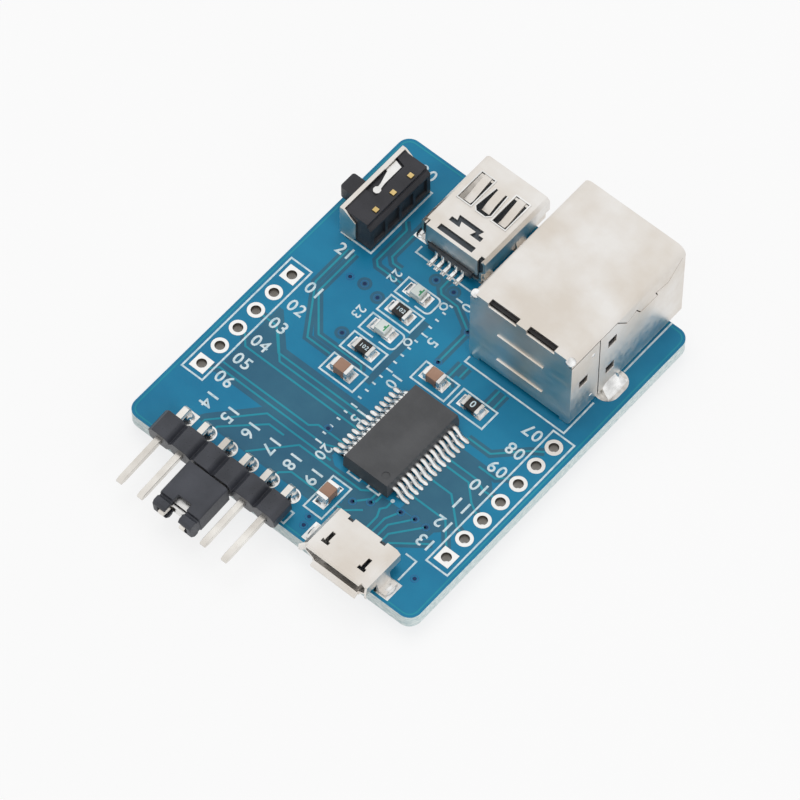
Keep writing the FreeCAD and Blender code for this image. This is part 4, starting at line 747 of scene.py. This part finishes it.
def fillet_tree(material):
    """A hollow-sided cone of solder, turned about its lead and instanced on every place."""
    inputs = {
        "Foot Radius": "NodeSocketFloat",
        "Neck Radius": "NodeSocketFloat",
        "Height": "NodeSocketFloat",
        "Turn": "NodeSocketRotation",
    }
    tree, start, end, names = node_tree("solder_fillets", inputs)
    tip = add_node(tree, "ShaderNodeCombineXYZ", {"Z": start.outputs["Height"]})
    line = add_node(tree, "GeometryNodeCurvePrimitiveLine", {"End": tip.outputs["Vector"]})
    inputs = {"Curve": line.outputs["Curve"], "Count": FILLET_STEPS}
    fine = add_node(tree, "GeometryNodeResampleCurve", inputs)
    along = tree.nodes.new("GeometryNodeSplineParameter").outputs["Factor"]
    inputs = {
        "Value": maths(tree, "POWER", maths(tree, "SUBTRACT", 1.0, along), FILLET_HOLLOW),
        "To Min": start.outputs["Neck Radius"],
        "To Max": start.outputs["Foot Radius"],
    }
    widen = add_node(tree, "ShaderNodeMapRange", inputs)
    cone = swept(tree, fine.outputs["Curve"], circle_curve(tree, 20))
    tree.links.new(widen.outputs["Result"], cone.inputs["Scale"])
    fillet = scattered(tree, start, smoothed(tree, cone), turn="Turn")
    close_tree(tree, end, fillet, material)
    return tree, names


fillets, fillet_names = fillet_tree(solder_metal)


def solder_fillets(name, points, foot, neck, height, under=False):
    """Grown solder fillets at the points, standing up, or hanging under the board."""
    settings = {
        fillet_names["Foot Radius"]: foot * MM,
        fillet_names["Neck Radius"]: neck * MM,
        fillet_names["Height"]: height * MM,
        fillet_names["Turn"]: (math.pi if under else 0.0, 0.0, 0.0),
    }
    z = BOARD_UNDER + SOLDER_SINK if under else -SOLDER_SINK
    return grow(name, places(name, [on_board(x, y, z) for x, y in points]), fillets, settings)


def bead_tree(material):
    """A squashed bead of solder, instanced on every place."""
    tree, start, end, names = node_tree("solder_beads", {"Half Size": "NodeSocketVector"})
    inputs = {"Segments": 14, "Rings": 8, "Radius": 1.0}
    bead = add_node(tree, "GeometryNodeMeshUVSphere", inputs)
    drop = scattered(tree, start, smoothed(tree, bead), size="Half Size")
    close_tree(tree, end, drop, material)
    return tree, names


beads, bead_names = bead_tree(solder_metal)


def solder_beads(name, points, half):
    """Grown solder beads at (x, y, z) points, half their size in millimetres each way."""
    settings = {bead_names["Half Size"]: tuple(side * MM for side in half)}
    return grow(name, places(name, [on_board(*point) for point in points]), beads, settings)


# USB-B socket
# The big square socket: one steel sheet folded round a black moulding, with its two tabs and four
# contacts soldered through the board. The fold leaves a small round ear at each rear top corner.

DRIFT_PER_METRE = 320
SLOPE_PINCH = 0.12
SLOPE_CROWN = 0.45
SLOPE_LIP = 0.03
SLOPE_HOLLOW = 1.8
shell_low, shell_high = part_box("usb_b_shell")
SHELL_LEFT = (shell_low.x - board_centre.x) / MM
SHELL_RIGHT = (shell_high.x - board_centre.x) / MM
SHELL_TOP = (shell_high.z - board_top) / MM
SHELL_REAR = 5.06
EAR = 0.42
EAR_HALF = (EAR + 0.1, EAR + 0.1, EAR)
DIMPLES = [(SHELL_RIGHT, 8.2, 1.74), (SHELL_RIGHT, 8.3, 8.6)]
DIMPLE_HALF = (0.06, 0.24, 0.24)
TAB_PAD_BEND = 1.3
TAB_PAD_HIGH = 0.04
TAB_Y = 11.1
TAB_SLOPE_REACH = 1.1
TAB_SLOPE_HALF = 1.45
TAB_SLOPE_HEIGHT = 1.1
TAB_JOINTS = [(x, TAB_Y, BOARD_UNDER) for x in (2.93, 14.67)]
TAB_JOINT_HALF = (1.0, 1.75, 0.8)
PIN_JOINTS = [(x, y) for x in (7.55, 10.05) for y in (6.39, 8.39)]


def plastic_finish(name, dark, light, rough, grain_per_metre=5200, depth=0.000012, gloss=0.4):
    """Moulded plastic with a fine even texture and slight colour drift."""
    material, tree, shader = new_material(name, rough, gloss=gloss)
    cloud = object_noise(tree, DRIFT_PER_METRE, 4)
    tree.links.new(ramp(tree, cloud, 0.35, 0.65, dark, light), shader.inputs["Base Color"])
    grain = object_noise(tree, grain_per_metre, 3)
    tree.links.new(spread(tree, grain, rough - 0.06, rough + 0.08), shader.inputs["Roughness"])
    add_bump(tree, shader, grain, depth, 0.7)
    return material


def solder_slope(target, foot, wall, side_low, side_high, height, along_x=True):
    """A hollow slope of solder from a pad's outer edge up to an end face, as a closed grid."""
    steps, across = 7, 6
    rows = []
    for i in range(steps + 1):
        share = i / steps
        near = foot + (wall - foot) * share
        pinch = SLOPE_PINCH * (side_high - side_low) * share
        row = []
        for j in range(across + 1):
            side = side_low + pinch + (side_high - side_low - 2 * pinch) * j / across
            crown = 1 - SLOPE_CROWN * (2 * j / across - 1) ** 4
            row.append((near, side, SLOPE_LIP + height * share**SLOPE_HOLLOW * crown))
        rows.append(row)

    def vert(near, side, z):
        x, y = (near, side) if along_x else (side, near)
        return target.verts.new(on_board(x, y, z))

    tops = [[vert(*point) for point in row] for row in rows]
    feet = [[vert(near, side, 0.0) for near, side, _ in row] for row in rows]
    for i in range(steps):
        for j in range(across):
            target.faces.new((tops[i][j], tops[i + 1][j], tops[i + 1][j + 1], tops[i][j + 1]))
            target.faces.new((feet[i][j], feet[i][j + 1], feet[i + 1][j + 1], feet[i + 1][j]))
        for j in (0, across):
            target.faces.new((feet[i][j], feet[i + 1][j], tops[i + 1][j], tops[i][j]))
    for i in (0, steps):
        for j in range(across):
            target.faces.new((feet[i][j], feet[i][j + 1], tops[i][j + 1], tops[i][j]))


black_moulding = plastic_finish("black_moulding", linear(22, 22, 24), linear(34, 34, 37), 0.45)
soften("usb_b_folded_shell", "usb_b_shell", shell_steel, 0.05)
refinish("usb_b_insulator", black_moulding)
for number in range(1, 5):
    refinish(f"usb_b_contact_{number}", gold_flash)

ears = [(x, SHELL_REAR + EAR, SHELL_TOP - EAR) for x in (SHELL_LEFT + EAR, SHELL_RIGHT - EAR)]
finish_piece(solder_beads("usb_b_fold_ears", ears, EAR_HALF))
finish_piece(solder_beads("usb_b_side_dimples", DIMPLES, DIMPLE_HALF))

tab_pads = bmesh.new()
oval = rounded_box(13.4, 16.3, 9.2, 12.9, TAB_PAD_BEND, 6)
slab(tab_pads, oval, MASK_SINK, TAB_PAD_HIGH)
mirrored = [(SHELL_LEFT + SHELL_RIGHT - x, y) for x, y in oval]
slab(tab_pads, mirrored[::-1], MASK_SINK, TAB_PAD_HIGH)
finish_piece(mesh_piece("usb_b_tab_pads", tab_pads, solder_metal))

tab_slopes = bmesh.new()
for wall, way in ((SHELL_LEFT, -1), (SHELL_RIGHT, 1)):
    foot = wall + way * TAB_SLOPE_REACH
    low, high = TAB_Y - TAB_SLOPE_HALF, TAB_Y + TAB_SLOPE_HALF
    solder_slope(tab_slopes, foot, wall, low, high, TAB_SLOPE_HEIGHT)
tab_solder = mesh_piece("usb_b_tab_solder", tab_slopes, solder_metal)
finish_piece(tab_solder, replaces=("usb_b_solder",))
finish_piece(solder_fillets("usb_b_pin_joints", PIN_JOINTS, 0.75, 0.3, 0.95, under=True))
finish_piece(solder_beads("usb_b_tab_joints", TAB_JOINTS, TAB_JOINT_HALF))


# Mini-USB socket
# Folded steel with spring arms in stamped windows, a dark grey moulding inside, five tails behind
# and four feet soldered down.

BEAD_Z = 0.05
RIM_LINE = 0.14
RIM_HIGH = 0.06
WINDOW_CENTRES = (-6.73, -2.57)
WINDOW_HALF = 0.86
WINDOW_LOW = 15.66
WINDOW_HIGH = 19.34
SCOOP = [(-5.35, 18.7), (-5.62, 16.0), (-5.2, 15.58), (-4.1, 15.58), (-3.68, 16.0), (-3.9, 18.7)]
MINI_FEET = [(x, y, BEAD_Z) for x in (-9.0, -0.3) for y in (12.6, 17.4)]
MINI_TAILS = [(-6.25 + 0.8 * i, 10.35, BEAD_Z) for i in range(5)]

grey_moulding = plastic_finish("grey_moulding", linear(54, 60, 66), linear(74, 81, 88), 0.4)
soften("mini_usb_folded_shell", "mini_usb_shell", shell_steel, 0.04)
refinish("mini_usb_insulator", grey_moulding)
soften("mini_usb_tails", "mini_usb_contacts", bright_tin, 0.03)

mini_top = (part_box("mini_usb_shell")[1].z - board_top) / MM
rims = bmesh.new()
for x in WINDOW_CENTRES:
    window = frame_line(x - WINDOW_HALF, x + WINDOW_HALF, WINDOW_LOW, WINDOW_HIGH)
    stroke(rims, window, RIM_LINE, mini_top - MASK_SINK, mini_top + RIM_HIGH, closed=True)
stroke(rims, SCOOP, RIM_LINE, mini_top - MASK_SINK, mini_top + RIM_HIGH)
finish_piece(mesh_piece("mini_usb_stamped_rims", rims, bright_tin))
finish_piece(solder_beads("mini_usb_foot_solder", MINI_FEET, (0.55, 0.85, 0.32)))
finish_piece(solder_beads("mini_usb_tail_solder", MINI_TAILS, (0.17, 0.32, 0.16)))


# Micro-USB socket
# The smallest socket, with flared lips, two locking slots and feet soldered to the board.

MICRO_FEET = [(x, -18.65, BEAD_Z) for x in (4.6, 13.4)]
MICRO_TAILS = [(7.7 + 0.65 * i, -15.55, BEAD_Z) for i in range(5)]

soften("micro_usb_folded_shell", "micro_usb_shell", shell_steel, 0.035)
refinish("micro_usb_insulator", grey_moulding)
soften("micro_usb_tails", "micro_usb_contacts", bright_tin, 0.02)
finish_piece(solder_beads("micro_usb_foot_solder", MICRO_FEET, (0.6, 0.85, 0.3)))
finish_piece(solder_beads("micro_usb_tail_solder", MICRO_TAILS, (0.14, 0.26, 0.12)))


# Slide switch
# A black moulded body behind a thin steel face. The side knob slides along the board, and a
# spring in the top recess gives the click.

SWITCH_JOINTS = [(-12.33, y) for y in (9.6, 12.1, 14.6)] + [(-13.9, y) for y in (7.7, 16.5)]

switch_moulding = plastic_finish("switch_moulding", linear(36, 36, 40), linear(50, 50, 55), 0.42)
soften("switch_body", "switch_housing", switch_moulding, 0.03)
soften("switch_face_sheet", "switch_cover", shell_steel, 0.03)
soften("switch_knob", "switch_slider", switch_moulding, 0.06, "slider")
refinish("switch_wiper", gold_flash)
soften("switch_spring", "switch_detent_spring", bright_tin, 0.02)
for number in range(1, 4):
    refinish(f"switch_terminal_{number}", gold_flash)
switch_solder = solder_fillets("switch_joints", SWITCH_JOINTS, 0.72, 0.3, 0.9, under=True)
finish_piece(switch_solder, replaces=("switch_solder",))


# Pin header
# Six square pins bent once and held in a notched strip, each soldered on both faces of the board.
# The first pad is square and the others are round.

HEADER_Y = -17.0
PAD_RADIUS = 0.86
PAD_HIGH = 0.035

strip_moulding = plastic_finish("strip_moulding", linear(48, 50, 56), linear(64, 66, 73), 0.32)
soften("pin_strip", "header_strip", strip_moulding, 0.08)
for number in range(1, 7):
    soften(f"bent_pin_{number}", f"header_pin_{number}", pin_metal, 0.05)

pads = bmesh.new()
pad_low, pad_high = HEADER_Y - PAD_RADIUS, HEADER_Y + PAD_RADIUS
outlines = [disc(x, HEADER_Y, PAD_RADIUS, 28) for x in HEADER_HOLES]
outlines[0] = frame_line(HEADER_HOLES[0] - PAD_RADIUS, HEADER_HOLES[0] + PAD_RADIUS, pad_low, pad_high)
for outline in outlines:
    slab(pads, outline, MASK_SINK, PAD_HIGH)
    slab(pads, outline, BOARD_UNDER - PAD_HIGH, BOARD_UNDER - MASK_SINK)
finish_piece(mesh_piece("header_pads", pads, bright_tin))

joints = [(x, HEADER_Y) for x in HEADER_HOLES]
top_joints = solder_fillets("header_top_joints", joints, 0.78, 0.4, 0.72)
finish_piece(top_joints, replaces=("header_solder",))
finish_piece(solder_fillets("header_under_joints", joints, 0.8, 0.34, 1.0, under=True))


# Jumper cap
# A moulded sleeve over a split spring clip, pushed on the third and fourth pins.

jumper_moulding = plastic_finish("jumper_moulding", linear(56, 58, 64), linear(70, 72, 79), 0.46)
soften("jumper_cap", "jumper_housing", jumper_moulding, 0.12, "jumper", 3)
refinish("jumper_contact", bright_tin)


# Serial chip
# A 28-lead plastic package, its leads bent down to the pads in gull-wing form and soldered there.

CHIP_X = 4.5
LEADS_PER_SIDE = 14
LEAD_ROWS = [-10.68 + 0.65 * i for i in range(LEADS_PER_SIDE)]
LEAD_ROOT = 2.6
LEAD_TOE = 4.2
LEAD_WIDTH = 0.42
LEAD_SHEET = 0.14
LEAD_PATH = [(0, 0.98), (0.3, 0.98), (0.55, 0.86), (0.85, 0.5), (1.1, 0.18), (1.3, 0.12), (1.72, 0.12)]
TOES = [(CHIP_X + way * LEAD_TOE, y, 0.04) for way in (-1, 1) for y in LEAD_ROWS]
TOE_HALF = (0.4, 0.24, 0.17)

chip_moulding = plastic_finish("chip_moulding", linear(70, 71, 73), linear(82, 83, 85), 0.5, 7000)
soften("chip_package", "chip_body", chip_moulding, 0.05)


def lead_tree(material):
    """A flat strip swept along the gull-wing curve, instanced on every lead's root."""
    inputs = {
        "Path": "NodeSocketObject",
        "Width": "NodeSocketFloat",
        "Sheet": "NodeSocketFloat",
        "Turn": "NodeSocketRotation",
    }
    tree, start, end, names = node_tree("gull_wing_leads", inputs)
    bend = add_node(tree, "GeometryNodeObjectInfo", {"Object": start.outputs["Path"]})
    sides = {"Width": start.outputs["Width"], "Height": start.outputs["Sheet"]}
    section = add_node(tree, "GeometryNodeCurvePrimitiveQuadrilateral", sides)
    lead = swept(tree, bend.outputs["Geometry"], section.outputs["Curve"])
    close_tree(tree, end, scattered(tree, start, lead.outputs["Mesh"], turn="Turn"), material)
    return tree, names


bend_curve = bpy.data.curves.new("gull_wing", "CURVE")
bend_curve.dimensions = "3D"
bend_line = bend_curve.splines.new("NURBS")
bend_line.points.add(len(LEAD_PATH) - 1)
for point, (out, z) in zip(bend_line.points, LEAD_PATH):
    point.co = (out * MM, 0, z * MM, 1)
bend_line.order_u = 3
bend_line.use_endpoint_u = True
bend_curve.resolution_u = 4
bend_holder = link_new("gull_wing", bend_curve)

leads, lead_names = lead_tree(bright_tin)
lead_rows = bmesh.new()
for way, turn in ((1, 0.0), (-1, math.pi)):
    roots = [on_board(CHIP_X + way * LEAD_ROOT, y) for y in LEAD_ROWS]
    settings = {
        lead_names["Path"]: bend_holder,
        lead_names["Width"]: LEAD_WIDTH * MM,
        lead_names["Sheet"]: LEAD_SHEET * MM,
        lead_names["Turn"]: (0.0, 0.0, turn),
    }
    row = grow("lead_row", places("lead_roots", roots), leads, settings)
    lead_rows.from_mesh(row.data)
    bpy.data.objects.remove(row)
bpy.data.objects.remove(bend_holder)
gull_wings = mesh_piece("chip_gull_wings", lead_rows, bright_tin)
finish_piece(gull_wings, replaces=("chip_leads",))
finish_piece(solder_beads("chip_toe_solder", TOES, TOE_HALF))


# Small two-ended parts
# Ceramic capacitors, resistors and two indicator lamps, each soldered at both ends. The resistors
# carry a plain code and the lamps a green mark at one end.

LOW_SLOPE = 0.42
HIGH_SLOPE = 0.6
PARTS_ALONG_X = [
    (-4.85, 6.965, LOW_SLOPE),
    (-4.85, 4.405, LOW_SLOPE),
    (-4.85, 1.885, LOW_SLOPE),
    (-4.85, -0.845, HIGH_SLOPE),
    (-4.85, -3.875, HIGH_SLOPE),
    (2.25, 0.935, HIGH_SLOPE),
    (6.82, 0.935, HIGH_SLOPE),
]
PART_ALONG_Y = (2.855, -14.8, HIGH_SLOPE)
SLOPE_FOOT = 1.42
SLOPE_WALL = 0.96
SLOPE_HALF = 0.62
CODE_LOW = 0.585
CODE_HIGH = 0.605
LAMP_ROWS = (6.965, 1.885)
MARK_LOW = 0.86
MARK_HIGH = 0.9

ceramic = plastic_finish("fired_ceramic", linear(150, 116, 98), linear(168, 134, 114), 0.5, 3000)
glaze = plastic_finish("resistor_glaze", linear(26, 25, 25), linear(38, 36, 36), 0.3, 3000)
laminate = plastic_finish("lamp_laminate", linear(196, 202, 196), linear(220, 224, 218), 0.4)
lens = plastic_finish("lamp_lens", linear(206, 216, 212), linear(232, 238, 234), 0.2, 3000)
for number in (1, 2, 3):
    for kind, material, slot in (
        ("capacitor", ceramic, "capacitor_ceramic"),
        ("resistor", glaze, "resistor_black"),
    ):
        node = f"{kind}_{number}_body"
        soften(f"{kind}_{number}_core", node, material, 0.05)
        soften(f"{kind}_{number}_caps", f"{kind}_{number}_ends", bright_tin, 0.08, segments=3)
for number in (1, 2):
    soften(f"lamp_{number}_base", f"led_{number}_base", laminate, 0.03)
    soften(f"lamp_{number}_ends", f"led_{number}_ends", bright_tin, 0.04)
    soften(f"lamp_{number}_lens", f"led_{number}_lens", lens, 0.06, segments=3)

slopes = bmesh.new()
for x, y, height in PARTS_ALONG_X:
    for way in (-1, 1):
        foot, wall = x + way * SLOPE_FOOT, x + way * SLOPE_WALL
        solder_slope(slopes, foot, wall, y - SLOPE_HALF, y + SLOPE_HALF, height)
x, y, height = PART_ALONG_Y
for way in (-1, 1):
    foot, wall = y + way * SLOPE_FOOT, y + way * SLOPE_WALL
    solder_slope(slopes, foot, wall, x - SLOPE_HALF, x + SLOPE_HALF, height, along_x=False)
finish_piece(mesh_piece("part_end_solder", slopes, solder_metal))

codes = [
    ("102", -5.3, 4.405, 0.42, 0, CODE_LOW, CODE_HIGH),
    ("102", -5.3, -0.845, 0.42, 0, CODE_LOW, CODE_HIGH),
    ("0", 6.58, 0.935, 0.72, 0, CODE_LOW, CODE_HIGH),
]
finish_piece(number_piece("resistor_codes", codes, silk_material))

green_ink = plastic_finish("polarity_green", linear(40, 130, 84), linear(70, 160, 110), 0.4)
marks = bmesh.new()
for y in LAMP_ROWS:
    slab(marks, frame_line(-4.52, -4.38, y - 0.42, y + 0.42), MARK_LOW, MARK_HIGH)
    slab(marks, frame_line(-4.7, -4.52, y - 0.12, y + 0.12), MARK_LOW, MARK_HIGH)
finish_piece(mesh_piece("lamp_polarity_marks", marks, green_ink))


# Floor, light and camera
# A pale studio floor, a large soft lamp overhead with two weaker ones, and a long lens that
# looks down on the near right corner of the board.

FLOOR_HALF = 3.0
FLOOR_GAP = 0.00001
PAPER = (0.9, 0.9, 0.9, 1)
WHITE = (1, 1, 1, 1)
GLOW_SHARE = 0.8
WORLD_FILL = 0.46
AIM = on_board(1.23, -2.79)
AZIMUTH = math.radians(39.98)
ELEVATION = math.radians(58.89)
ROLL = math.radians(0.58)
DISTANCE = 0.6
PIXELS_PER_METRE = 10865.0
IMAGE_WIDTH = 800
SENSOR = 36.0


def seen_directly(tree):
    """One for camera, mirror and glass rays, which show the white studio as it is."""
    rays = tree.nodes.new("ShaderNodeLightPath").outputs
    total = rays["Is Camera Ray"]
    for kind in ("Is Glossy Ray", "Is Transmission Ray"):
        total = maths(tree, "MAXIMUM", total, rays[kind])
    return total


def mixed_shader(tree, factor, first, second):
    """The first shader where the factor is 0, the second where it is 1."""
    inputs = {"Fac": factor, 1: first.outputs[0], 2: second.outputs[0]}
    return add_node(tree, "ShaderNodeMixShader", inputs).outputs["Shader"]


def plain_floor():
    """White paper that keeps a soft share of the shadow."""
    material = bpy.data.materials.new("studio_floor")
    material.use_nodes = True
    tree = material.node_tree
    tree.nodes.clear()
    output = tree.nodes.new("ShaderNodeOutputMaterial")
    paint = add_node(tree, "ShaderNodeBsdfDiffuse", {"Color": PAPER})
    glow = add_node(tree, "ShaderNodeEmission", {"Strength": 1.0})
    share = maths(tree, "MULTIPLY", seen_directly(tree), GLOW_SHARE)
    tree.links.new(mixed_shader(tree, share, paint, glow), output.inputs["Surface"])
    return material


floor_maker = bmesh.new()
bmesh.ops.create_grid(floor_maker, x_segments=1, y_segments=1, size=FLOOR_HALF)
floor = mesh_piece("studio_floor", floor_maker, plain_floor())
floor.location.z = cad_box[0][2] - FLOOR_GAP

world = bpy.data.worlds.new("studio")
bpy.context.scene.world = world
world.use_nodes = True
sky = world.node_tree
fill = sky.nodes["Background"]
fill.inputs["Color"].default_value = WHITE
fill.inputs["Strength"].default_value = WORLD_FILL
white = add_node(sky, "ShaderNodeBackground", {"Color": WHITE, "Strength": 1.0})
backdrop = mixed_shader(sky, seen_directly(sky), fill, white)
sky.links.new(backdrop, sky.nodes["World Output"].inputs["Surface"])


def soft_lamp(name, place, aim, size, power):
    """A rectangular lamp that lights but isn't mirrored in the metal."""
    data = bpy.data.lights.new(name, "AREA")
    data.shape = "RECTANGLE"
    data.size, data.size_y = size
    data.energy = power
    lamp = link_new(name, data)
    lamp.location = place
    lamp.rotation_euler = (Vector(aim) - Vector(place)).to_track_quat("-Z", "Y").to_euler()
    lamp.visible_glossy = False


soft_lamp("overhead_panel", AIM + Vector((-0.12, 0.12, 0.55)), AIM, (0.4, 0.4), 1.1)
soft_lamp("right_panel", AIM + Vector((0.5, -0.1, 0.3)), AIM, (0.3, 0.4), 0.9)
soft_lamp("left_panel", AIM + Vector((-0.5, -0.25, 0.3)), AIM, (0.3, 0.4), 0.25)

level = math.cos(ELEVATION)
toward = Vector((math.sin(AZIMUTH) * level, -math.cos(AZIMUTH) * level, math.sin(ELEVATION)))
camera_data = bpy.data.cameras.new("camera")
camera_data.sensor_width = SENSOR
camera_data.lens = PIXELS_PER_METRE * SENSOR * DISTANCE / IMAGE_WIDTH
camera_data.clip_start = 0.01
camera = link_new("camera", camera_data)
camera.location = AIM + toward * DISTANCE
facing = (-toward).to_track_quat("-Z", "Y")
camera.rotation_euler = (facing.to_matrix() @ Matrix.Rotation(ROLL, 3, "Z")).to_euler()
bpy.context.scene.camera = camera
bpy.context.scene.view_settings.view_transform = "Standard"
